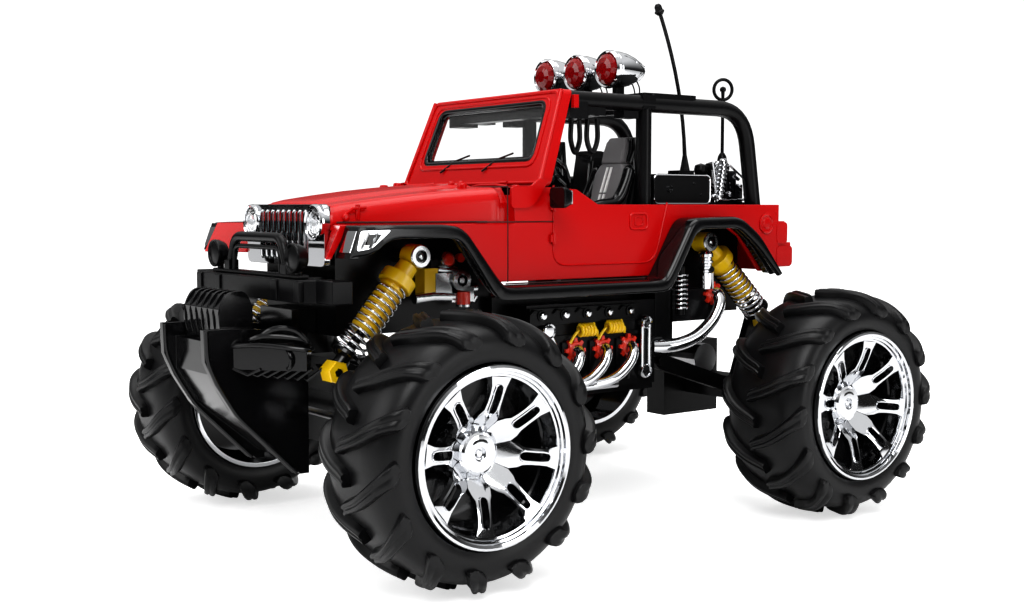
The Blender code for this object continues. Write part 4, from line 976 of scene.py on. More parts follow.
def shell_details(shape):
    """Latches, hinges, cowl knobs, filler ring and corner bosses."""
    for side in (-1, 1):
        lug_in, lug_out = sorted((side * 67.5, side * 69.4))
        bracket = rounded(
            [
                (-63, 176), (-52, 176), (-46.5, 179.5), (-38, 191.5), (-45, 191.5), (-50, 187.3),
                (-63, 187.3)],
            2.4)
        prism(shape, [tuple(at(0, y, z).yz) for y, z in bracket], "X", lug_in * mm, lug_out * mm)
        for z in (160, 177):
            block(
                shape, at(min(side * 67.5, side * 69.6), -37.4, z - 2),
                at(max(side * 67.5, side * 69.6), -32.2, z + 2))
            tube(shape, [at(side * 69.2, -35, z - 3), at(side * 69.2, -35, z + 3)], 1.1 * mm, 10)
        for reach, radius, proud in ((0.0, 0.75, 0.1), (-3.2, 0.45, 0.1)):
            frame_line = rounded(
                [
                    (19.8 - reach, 164.4 - reach * 0.6), (32.4 + reach, 164.4 - reach * 0.6),
                    (32.4 + reach, 173 + reach * 0.6), (19.8 - reach, 173 + reach * 0.6)],
                2.4, 5)
            tube(shape, [at(side * (68 + proud), y, z) for y, z in frame_line], radius * mm, 8, ring=True)
        side_boss(
            shape, side, 67.8, 129.5, 166.5,
            [(0, 0), (6.2, 0), (6.2, 0.8), (5.4, 1.2), (4.7, 0.7), (3.4, 0.6), (3.0, 1.1), (0, 1.3)])
        x, y, z = side * 46.6, -143, 174.5
        tube(
            shape,
            [
                at(x - side * 1.2, y - 5, z - 2), at(x + side * 1.1, y - 1, z + 1.5),
                at(x + side * 1.3, y + 6, z + 2)],
            0.9 * mm, 8)
        tube(shape, [at(x, y + 2, z - 4), at(x + side * 1, y + 1.5, z + 3.4)], 1.3 * mm, 10)
        side_boss(
            shape, side, 45.6, -147.5, 171.6, [(0, 0), (1.8, 0), (1.8, 1.2), (1.2, 1.6), (0, 1.6)],
            segments=14)
        knob(shape, side * 40, -74, 186.8, 2.6, 2.6)
        knob(shape, side * 33, -70, 187.2, 1.8, 3.4)
        knob(shape, side * 27, -72, 187.4, 1.8, 3)
        knob(shape, side * 58, -52, 187, 2.2, 1.4)
        tube(
            shape,
            [
                at(side * 12, -48, 187.6), at(side * 22, -50, 188.4), at(side * 38, -50.5, 188.4),
                at(side * 46, -49, 187.6)],
            0.9 * mm, 8)
        for low, high, back in ((140.6, 152.8, 152.9), (154.4, 167.4, 148.2)):
            lamp = rounded([(low, 139), (low, back), (high, back), (high, 139)], 2.6, 4)
            prism(
                shape, [tuple(at(0, y, z).yz) for z, y in lamp], "X",
                *sorted((side * 50 * mm, side * 68.4 * mm)))


def door_line(side):
    """The groove round a door, in its side's plane."""
    outline = soften([(-34.6, 188), (-34.6, 145.6), (38, 145.6), (47.4, 179)], 9, 6)
    return [at(side * 68.1, p[0], p[1]) for p in outline]


def seam_paths():
    """Every groove between the shell's panels."""
    paths = []
    for side in (-1, 1):
        paths.append(door_line(side))
        paths.append([at(side * 68.1, -64.4, 187.4), at(side * 68.1, -64.4, 137.8)])
        paths.append([at(side * 68.1, -84, 168.9), at(side * 68.1, -34.6, 168.9)])
    return paths


class TRUCK_OT_shell(bpy.types.Operator):
    """Red shell with moulded seams, hinges and latches"""

    bl_idname = "truck.shell"
    bl_label = "Shell"

    def execute(self, context):
        cutters = bmesh.new()
        for path in seam_paths():
            tube(cutters, path, 0.55 * mm, 8)
        shape = bmesh.new()
        from_node(shape, "body_shell")
        piece(
            "shell", shape, [red_shell()], "chassis", ["body_shell"], sizes().edge_round,
            3, cutters)
        shape = bmesh.new()
        hood(shape)
        piece("hood", shape, [red_shell()], "chassis", ())
        shape = bmesh.new()
        shell_details(shape)
        piece("shell_mouldings", shape, [red_shell()], "chassis", (), 0.35 * mm)
        # Painted shade: dark lines in the groove bottoms, along the hood's lower edge, the foot of each side and the
        # cowl.
        shape = bmesh.new()
        for path in seam_paths():
            tube(
                shape, [Vector(p) - Vector((math.copysign(0.42 * mm, p.x), 0, 0)) for p in path],
                0.34 * mm, 6)
        for side in (-1, 1):
            edge = [at(side * (44.2 + 18 * (y + 154.8) / 94.4), y, 169.1) for y in range(-152, -64, 8)]
            tube(shape, edge, 0.5 * mm, 6)
            tube(shape, [at(side * 68.15, y, 136.9) for y in (-66, 47)], 0.4 * mm, 6)
        tube(shape, [at(x, -63.9, 187.1) for x in (-67, -30, 0, 30, 67)], 0.4 * mm, 6)
        piece("seam_shadows", shape, [painted_seam_shade()], "chassis", ())
        return {"FINISHED"}


# ---------------------------------------------------------------- windscreen


def screen(x, z, push=0.0):
    """A point on the leaning windscreen's front face, moved along Y by push."""
    return at(x, -43.85 + (z - 187.35) * 0.377 + push, z)


def screen_outline(half_low, half_high, low, high, corner):
    return rounded([(-half_low, low), (half_low, low), (half_high, high), (-half_high, high)], corner, 6)


class TRUCK_OT_windscreen(bpy.types.Operator):
    """Leaning frame, black gasket and clear pane"""

    bl_idname = "truck.windscreen"
    bl_label = "Windscreen"

    def execute(self, context):
        shape = bmesh.new()
        outer = screen_outline(67.6, 61.6, 187.5, 240, 3.5)
        inner = screen_outline(54.6, 52.4, 201, 233.8, 6)
        rings = []
        for outline, push in ((outer, 7.6), (outer, 0.4), (inner, 0.0), (inner, 7.8)):
            rings.append([shape.verts.new(screen(x, z, push)) for x, z in outline])
        faces_between(shape, rings, 0, closed=True)
        for half_low, half_high, low, high, corner, radius in (
            (65.8, 60, 189.5, 238.6, 4, 1.0), (57.4, 55, 198.6, 236, 7, 0.85)):
            tube(
                shape,
                [screen(x, z, 0.1) for x, z in screen_outline(half_low, half_high, low, high, corner)],
                radius * mm, 10, ring=True)
        for side in (-1, 1):
            tube(shape, [screen(side * 66.2, 190, 0.3), screen(side * 60.9, 239.4, 0.3)], 1.5 * mm, 10)
            block(
                shape, at(min(side * 61, side * 63.6), -17, 230),
                at(max(side * 61, side * 63.6), -13.6, 237))
        for x in (-36, 36):
            tube(shape, [screen(x - 3, 189.6, -0.6), screen(x + 3, 189.6, -0.6)], 1.3 * mm, 10)
        piece(
            "screen_frame", shape, [red_shell()], "chassis", ["windshield_frame"],
            0.8 * mm, 3)
        shape = bmesh.new()
        tube(
            shape, [screen(x, z, 1.6) for x, z in screen_outline(54.0, 51.8, 201.6, 233.2, 6)],
            1.7 * mm, 10, ring=True)
        tube(
            shape, [screen(x, z, 3.0) for x, z in screen_outline(52.6, 50.4, 203, 231.8, 6)], 1.0 * mm,
            8, ring=True)
        for x in (-30, 12):
            tube(
                shape, [screen(x, 196.5, -1.2), screen(x + 9, 203, 0.6), screen(x + 22, 206, 0.9)],
                0.55 * mm, 6)
        piece("screen_gasket", shape, [gloss_black()], "chassis", ())
        shape = bmesh.new()
        pane = screen_outline(52.6, 50.6, 202.8, 232, 6)
        rings = [[shape.verts.new(screen(x, z, push)) for x, z in pane] for push in (2.6, 3.6)]
        faces_between(shape, rings, 0)
        piece("screen_pane", shape, [window_clear()], "chassis", ["windshield_glass"])
        return {"FINISHED"}


# ---------------------------------------------------------------- grille and lamps


class TRUCK_OT_grille(bpy.types.Operator):
    """Plated grille with arched slots and ringed headlamps"""

    bl_idname = "truck.grille"
    bl_label = "Grille and headlamps"

    def execute(self, context):
        shape = bmesh.new()
        outline = rounded([(-43.6, 147), (43.6, 147), (43.6, 178), (-43.6, 178)], 4)
        prism(
            shape, [tuple(at(x, 0, z).xz) for x, z in outline], "Y",
            *(at(0, y, 0).y for y in (-158.1, -155)))
        cutters = bmesh.new()
        pitch, slots = 6.1, 8
        for i in range(slots):
            x = (i - (slots - 1) / 2) * pitch
            slot = rounded([(x - 2.1, 149.5), (x + 2.1, 149.5), (x + 2.1, 174.6), (x - 2.1, 174.6)], 2.0, 4)
            prism(
                cutters, [tuple(at(a, 0, b).xz) for a, b in slot], "Y",
                *(at(0, y, 0).y for y in (-160, -154)))
        for side in (-1, 1):
            spun(
                cutters, [(8.2 * mm, 0), (8.2 * mm, 1)], at(side * 35.4, -160, 168.8),
                at(side * 35.4, -154, 168.8), 0, 32)
        one = bmesh.new()
        bar = [
            at(-1.05, -157.9, 149.8), at(-1.25, -158.75, 151.5), at(-1.25, -158.95, 162),
            at(-1.25, -158.75, 173.4), at(-1.05, -157.9, 175)]
        tube(one, [p + Vector((1.1 * mm, 0, 0)) for p in bar], 0.85 * mm, 8)
        start = Vector(((-slots / 2 + 0.0) * pitch * mm, 0, 0))
        add_pattern(
            shape, one, row_tree(),
            {"Count": slots + 1, "Start": start, "Step": Vector((pitch * mm, 0, 0)), "Finish": chrome()})
        piece("grille_plating", shape, [chrome()], "chassis", ["grille"], 0.3 * mm, 2, cutters)
        shape = bmesh.new()
        block(shape, at(-43, -155.0, 148), at(43, -154.4, 177))
        piece("grille_backing", shape, [satin_black()], "chassis", (), 0.1 * mm)
        for name, side in SIDES:
            shape = bmesh.new()
            front = at(side * 35.4, -160.4, 168.8)
            back = at(side * 35.4, -155.2, 168.8)
            spun(shape, [(9.0 * mm, 1), (9.4 * mm, 0.35), (9.2 * mm, 0.12), (8.5 * mm, 0.0), (7.7 * mm, 0.12), (7.5 * mm, 0.4), (6.9 * mm, 0.42), (6.6 * mm, 0.62),
                         (5.6 * mm, 0.66), (4.4 * mm, 0.8), (2.2 * mm, 0.93), (0, 0.95)], front, back, 0, 40)
            spun(
                shape, [(2.1 * mm, 0.95), (2.1 * mm, 0.55), (1.5 * mm, 0.4), (0, 0.36)], front, back, 0,
                16)
            piece(f"headlamp_{name}", shape, [chrome()], "chassis", ())
            shape = bmesh.new()
            spun(shape, [(0, 0.42), (3 * mm, 0.4), (7.35 * mm, 0.38), (7.35 * mm, 0.26), (6.6 * mm, 0.12), (6.2 * mm, 0.17), (5.4 * mm, 0.03), (5.0 * mm, 0.08),
                         (4.1 * mm, -0.05), (3.7 * mm, 0.0), (2.6 * mm, -0.1), (0, -0.12)], front, back, 0, 40)
            piece(
                f"headlamp_glass_{name}", shape, [lamp_clear()], "chassis", [f"headlight_lens_{name}"])
        return {"FINISHED"}


# ---------------------------------------------------------------- black mouldings


FLARE_PATH = [
    (-160.6, 168.0, -166.2, 152.6), (-153.0, 168.3, -153.4, 154.4), (-144.4, 168.4, -144.4, 161.6),
    (-112.3, 168.4, -112.4, 161.6),
    (-101.5, 166.6, -103.9, 160.4), (-79.4, 139.5, -82.6, 130.6), (-75.4, 136.4, -75.4, 129.6),
    (31.4, 136.4, 33.4, 129.6),
    (35.0, 140.4, 38.4, 132.6), (53.4, 170.6, 57.4, 164.2), (92.4, 171.4, 90.4, 164.6),
    (109.4, 160.5, 105.4, 153.6), (128.2, 137.6, 124.4, 135.6),
]


def flare(shape, side):
    """Arch and sill moulding: a top plate with a flanged, rounded outer edge and an inner lip."""
    section = [(68.3, 0.0), (79.5, 0.0), (82.2, 0.05), (83.6, 0.2), (84.0, 0.42), (84.0, 0.86), (83.4, 1.0), (81.6, 1.0), (81.0, 0.86),
               (80.8, 0.58), (80.0, 0.46), (77.6, 0.44), (77.0, 0.56), (76.6, 0.74), (75.0, 0.76), (74.6, 0.5), (73.6, 0.4), (68.3, 0.38)]
    stations = []
    for up_y, up_z, low_y, low_z in soften(FLARE_PATH, 7, 5):
        stations.append(
            [at(side * x, up_y + (low_y - up_y) * s, up_z + (low_z - up_z) * s) for x, s in section])
    loft(shape, stations)


class TRUCK_OT_flares(bpy.types.Operator):
    """Arch and sill mouldings with their side lamps"""

    bl_idname = "truck.flares"
    bl_label = "Arches and sills"

    def execute(self, context):
        for name, side in SIDES:
            shape = bmesh.new()
            flare(shape, side)
            low, high = sorted((side * 69, side * 83.5))
            nose = [(-161.2, 167.6), (-166.4, 152.6), (-162, 152.4), (-157, 167.4)]
            prism(shape, [tuple(at(0, y, z).yz) for y, z in nose], "X", low * mm, high * mm)
            low, high = sorted((side * 60, side * 81))
            block(shape, at(low, -70, 130), at(high, 28, 135.5))
            piece(
                f"arch_{name}", shape, [gloss_black()], "chassis", [f"fender_trim_{name}"],
                0.4 * mm, 2)
            shape = bmesh.new()
            outline = rounded(
                [(-163.4, 156), (-161.2, 165.6), (-144.4, 165.9), (-148.5, 162.4), (-155.4, 157.2)], 1.6)
            low, high = sorted((side * 82.5, side * 84.4))
            prism(shape, [tuple(at(0, y, z).yz) for y, z in outline], "X", low * mm, high * mm)
            for shift in (0, 4.6):
                vane = [
                    at(side * 84.4, -161 + shift, 157.4), at(side * 84.8, -159 + shift, 161),
                    at(side * 84.4, -157 + shift, 164.8)]
                tube(shape, vane, 0.8 * mm, 8)
            front = [(72.5, 155.4), (82.6, 155.4), (82.6, 165.4), (74.5, 165.4)]
            corners = [
                [at(side * x, -165.4 + (z - 155) * 0.37 + push, z) for x, z in front]
                for push in (-0.9, 1)]
            loft(shape, corners)
            piece(f"side_lamp_{name}", shape, [chrome()], "chassis", (), 0.4 * mm, 2)
            shape = bmesh.new()
            inner = rounded([(-158.8, 158.6), (-157.2, 163.9), (-150, 164), (-153.6, 159.6)], 1)
            low, high = sorted((side * 84.2, side * 85.3))
            prism(shape, [tuple(at(0, y, z).yz) for y, z in inner], "X", low * mm, high * mm)
            piece(
                f"side_lamp_bezel_{name}", shape, [gloss_black()], "chassis", (),
                0.4 * mm, 2)
            # A dark line along the foot of the sill: painted shade.
            shape = bmesh.new()
            tube(shape, [at(side * 81.6, y, 130.2) for y in (-70, 28)], 0.4 * mm, 6)
            piece(f"sill_shade_line_{name}", shape, [painted_seam_shade()], "chassis", ())
        return {"FINISHED"}


class TRUCK_OT_bumper(bpy.types.Operator):
    """Stepped front bumper with its guard hoop and spot lamps"""

    bl_idname = "truck.bumper"
    bl_label = "Bumper and guard"

    def execute(self, context):
        shape = bmesh.new()
        from_node(shape, "front_bumper")
        for side in (-1, 1):
            for x in (30, 54):
                block(
                    shape, at(min(side * x, side * (x + 6)), -180.8, 131.4),
                    at(max(side * x, side * (x + 6)), -178, 141.4))
            tube(shape, [at(side * 40, -173, 142), at(side * 40, -173, 143.6)], 2 * mm, 12)
        piece(
            "bumper_bar", shape, [satin_black()], "chassis", ["front_bumper"],
            0.9 * mm, 3)
        shape = bmesh.new()
        hoop = soften(
            [(-33.5, 142.6), (-31.5, 150), (-26.5, 161.4), (26.5, 161.4), (31.5, 150), (33.5, 142.6)],
            6, 5)
        tube(shape, [at(p[0], -172.6, p[1]) for p in hoop], 2.6 * mm, 14)
        loop = soften([(-27, 143), (-26, 156.5), (26, 156.5), (27, 143)], 5, 4)
        tube(shape, [at(p[0], -173.4, p[1]) for p in loop], 1.3 * mm, 10)
        block(shape, at(-50, -175.6, 142.2), at(50, -170, 144))
        for side in (-1, 1):
            block(
                shape, at(min(side * 29.5, side * 36), -175.4, 142.2),
                at(max(side * 29.5, side * 36), -169.8, 149))
            face, back = at(side * 45.4, -177.4, 152), at(side * 45.4, -169, 152)
            spun(shape, [(2.4 * mm, 1), (5.6 * mm, 0.8), (7.1 * mm, 0.4), (7.4 * mm, 0.08), (6.9 * mm, -0.02), (6.3 * mm, 0.06), (6.0 * mm, 0.16), (5.0 * mm, 0.1), (0, 0.04)],
                 face, back, 0, 32)
            tube(shape, [at(side * 45.4, -173, 143.5), at(side * 45.4, -173, 147)], 1.8 * mm, 10)
        piece(
            "guard_hoop", shape, [satin_black()], "chassis", ["brush_guard"], 0.5 * mm,
            2)
        return {"FINISHED"}


class TRUCK_OT_skid(bpy.types.Operator):
    """Front guard with finned cowl, ribbed edges and slatted wings"""

    bl_idname = "truck.skid"
    bl_label = "Front guard"

    def execute(self, context):
        shape = bmesh.new()
        from_node(shape, "skid_plate")
        nose = SKID_Y
        for side in (-1, 1):
            for x in (27.6, 24.2):
                edge = [
                    (nose + 1.3, 117.4), (nose + 1.8, 102.5), (nose + 6.8, 91), (nose + 16.8, 75),
                    (-166.5, 43.8)]
                tube(shape, [at(side * x, y, z) for y, z in soften_pairs(edge)], 1.25 * mm, 8)
            for k in range(7):
                y = nose + 20 + 4.2 * k
                slat = [
                    at(side * (27 + 1.2 * k), y - 5, 98.4),
                    at(side * (33 + 2.2 * k), y, 95.6 - k * 0.5),
                    at(side * (38 + 2.6 * k), y + 4.5, 98.6)]
                tube(shape, slat, 0.9 * mm, 8)
            ring = [
                at(side * (47 + 3.6 * math.cos(t)), -180.5, 103.4 + 4.2 * math.sin(t))
                for t in (2 * math.pi * i / 20 for i in range(20))]
            tube(shape, ring, 1.1 * mm, 8, ring=True)
            wing = [
                at(side * 27, nose + 14.6, 109.4), at(side * 40, nose + 24, 110.4),
                at(side * 54, -176, 108.6), at(side * 52, -170, 108)]
            tube(shape, smooth_path(wing, 4), 1.3 * mm, 8)
            for lift, reach in ((0.0, 0.0), (3.6, 4.0)):
                blade = [at(side * (28 + reach), nose + 20 + reach, 110 + lift * 0.4), at(side * (38 + reach), nose + 26 + reach, 114.4 + lift), at(side * 47, -176, 113.4 + lift),
                         at(side * 50, -170, 110)]
                tube(shape, smooth_path(blade, 4), [0.5 * mm] + [1.7 * mm] * 11 + [0.7 * mm], 8)
        one = bmesh.new()
        fin = rounded(
            [
                (-202.6, 110.5), (-204.6, 121), (-203.6, 129), (-199.4, 135.4), (-190.4, 135.9),
                (-186.4, 128.5), (-186.6, 111)],
            4)
        prism(one, [tuple(at(0, y, z).yz) for y, z in fin], "X", -0.85 * mm, 0.85 * mm)
        add_pattern(
            shape, one, row_tree(),
            {
                "Count": 7, "Start": Vector((-21 * mm, 0, 0)), "Step": Vector((7 * mm, 0, 0)),
                "Finish": gloss_black(), "Paint": 1})
        piece(
            "front_guard", shape, [gloss_black(), gloss_black()], body_of("skid_plate"), ["skid_plate"],
            0.6 * mm, 2)
        return {"FINISHED"}


SKID_Y = (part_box("skid_plate")[0].y - MID_Y) / mm


def soften_pairs(points):
    return [(p[0], p[1]) for p in soften(points, 5, 3)]


class TRUCK_OT_mouldings(bpy.types.Operator):
    """Black moulding of the cabin floor"""

    bl_idname = "truck.mouldings"
    bl_label = "Plain mouldings"

    def execute(self, context):
        for node in ("cabin_floor",):
            shape = bmesh.new()
            from_node(shape, node)
            piece(
                f"{node}_moulding", shape, [satin_black()], body_of(node), [node],
                0.6 * mm, 2)
        return {"FINISHED"}


class TRUCK_OT_finishes(bpy.types.Operator):
    """Finishes of the frame's own parts that stay in view"""

    bl_idname = "truck.finishes"
    bl_label = "Frame finishes"

    def execute(self, context):
        made = {"red_paint": red_shell, "black_plastic": satin_black, "tyre_rubber": tyre_rubber, "chrome": chrome,
                "yellow_plastic": damper_yellow, "seat_grey": seat_grey, "clear": window_clear,
                "red_lens": lens_red,
                "steel": steel, "green_board": board_green, "blue_wrap": cell_blue}
        slots = {part["node"]: part["material_slot"] for part in frame["record"]["subparts"]}
        for name, node in frame["nodes"].items():
            node.data.materials.clear()
            node.data.materials.append(made[slots[name]]())
        return {"FINISHED"}


# ---------------------------------------------------------------- suspension


def joint_named(name):
    for joint in frame["record"]["behaviour"]["joints"]:
        if joint["name"] == name:
            return joint
    raise ValueError(f"no joint is called {name}")


DAMPER_LENGTH = 72 * mm
DAMPER_SEAT = 11.2 * mm
DAMPER_CAP = 53 * mm


def damper_lines(tag):
    """Lower eye, upper eye and upward direction of a damper."""
    upper = Vector(joint_named(f"shock_swing_{tag}")["pos_m"])
    up = Vector(joint_named(f"shock_stroke_{tag}")["axis"]).normalized()
    if up.z < 0:
        up = -up
    return upper - up * DAMPER_LENGTH, upper, up


def damper_body(shape, lower, upper, side):
    """Ribbed sleeve, cap and eye housing with its washer and screw."""
    profile = [(3.3, 24), (5.6, 24), (6.2, 24.6)]
    rib = 26.0
    while rib < 51:
        profile += [(6.9, rib), (6.9, rib + 1.7), (6.2, rib + 2.0), (6.2, rib + 3.3)]
        rib += 3.45
    profile += [
        (6.2, 53), (8.9, 53), (9.2, 53.3), (9.2, 58.6), (8.9, 59.0), (5.6, 59.6), (5.2, 66), (3.3, 66)]
    spun(shape, [(r * mm, reach / 72) for r, reach in profile] + [(3.3 * mm, 24 / 72)], lower, upper, 0, 28)
    x = Vector((1, 0, 0))
    spun(
        shape, [(0, 0), (5.6 * mm, 0), (6.0 * mm, 0.05), (6.0 * mm, 0.95), (5.6 * mm, 1), (0, 1)],
        upper - x * 5.2 * mm, upper + x * 5.2 * mm, 0, 28)
    face, out = upper + x * side * 5.0 * mm, upper + x * side * 6.6 * mm
    spun(
        shape,
        [(5.6 * mm, 0), (5.8 * mm, 0.6), (5.3 * mm, 1), (3.4 * mm, 1), (3.1 * mm, 0.5), (0, 0.4)], face,
        out, 1, 28)
    spun(
        shape, [(2.9 * mm, 0.3), (2.9 * mm, 0.95), (2.2 * mm, 1), (1.9 * mm, 0.5), (0, 0.45)], face,
        out, 2, 24)
    spun(shape, [(1.5 * mm, 0.3), (1.5 * mm, 0.9), (1.1 * mm, 1.05), (0, 1.05)], face, out, 1, 16)


def damper_rod(shape, lower, upper):
    profile = [
        (0, 1.5), (3.9, 1.5), (3.9, 8), (6.2, 8.6), (8.3, 9.2), (8.3, 10.8), (7.4, 11.2), (4.2, 11.2),
        (3.6, 13), (2.6, 14), (2.6, 35), (0, 35)]
    spun(shape, [(r * mm, reach / 72) for r, reach in profile], lower, upper, 1, 24)
    x = Vector((1, 0, 0))
    spun(
        shape,
        [
            (2.3 * mm, 0), (5.4 * mm, 0), (6 * mm, 0.08), (6 * mm, 0.92), (5.4 * mm, 1), (2.3 * mm, 1)
        ] + [(2.3 * mm, 0)],
        lower - x * 5 * mm, lower + x * 5 * mm, 0, 6)


class TRUCK_OT_dampers(bpy.types.Operator):
    """Yellow dampers with plated coil springs"""

    bl_idname = "truck.dampers"
    bl_label = "Dampers and springs"

    def execute(self, context):
        for end, _ in ENDS:
            for name, side in SIDES:
                tag = f"{end}_{name}"
                lower, upper, up = damper_lines(tag)
                shape = bmesh.new()
                damper_body(shape, lower, upper, side)
                piece(f"damper_{tag}", shape, [damper_yellow(), dull_chrome(), gloss_black()], f"shock_body_{tag}", [f"shock_body_{tag}"])
                shape = bmesh.new()
                damper_rod(shape, lower, upper)
                piece(
                    f"damper_rod_{tag}", shape, [damper_yellow(), gloss_black()], f"shock_rod_{tag}",
                    [f"shock_rod_{tag}"])
                low, high = lower + up * DAMPER_SEAT, lower + up * (DAMPER_CAP - 0.4 * mm)
                made = bpy.data.objects.new(f"coil_{tag}", bpy.data.meshes.new("coil"))
                context.scene.collection.objects.link(made)
                turn = Vector((0, 0, 1)).rotation_difference(up).to_euler()
                run_tree(made, coil_tree(), {
                    "Turns": float(sizes().spring_turns), "Radius": 7.35 * mm,
                    "Wire": sizes().spring_wire,
                    "Height": (high - low).length - 2 * sizes().spring_wire,
                    "Foot": low + up * sizes().spring_wire, "Rotation": Vector(turn), "Finish": chrome()})
                made.data.shade_smooth()
                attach(made, f"shock_body_{tag}")
                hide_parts(f"spring_{tag}")
                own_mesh(made)
        return {"FINISHED"}


# ---------------------------------------------------------------- dummy engine


def star_flange(shape, centre, side, paint):
    """Thin eight-pronged flange that faces sideways, drawn on the X axis."""
    for i in range(8):
        t = 2 * math.pi * i / 8
        points = [(4.0, t - 0.36), (7.0, t - 0.13), (7.0, t + 0.13), (4.0, t + 0.36), (2.2, t)]
        prism(shape, [(centre.y + r * mm * math.sin(a), centre.z + r * mm * math.cos(a)) for r, a in points], "X",
              *sorted((centre.x - side * 0.9 * mm, centre.x + side * 1.5 * mm)), paint)
    spun(
        shape, [(0, 0), (5 * mm, 0), (5 * mm, 0.8), (4.4 * mm, 1), (0, 1)],
        centre - Vector((side * mm, 0, 0)), centre + Vector((side * 2.2 * mm, 0, 0)), paint, 20)


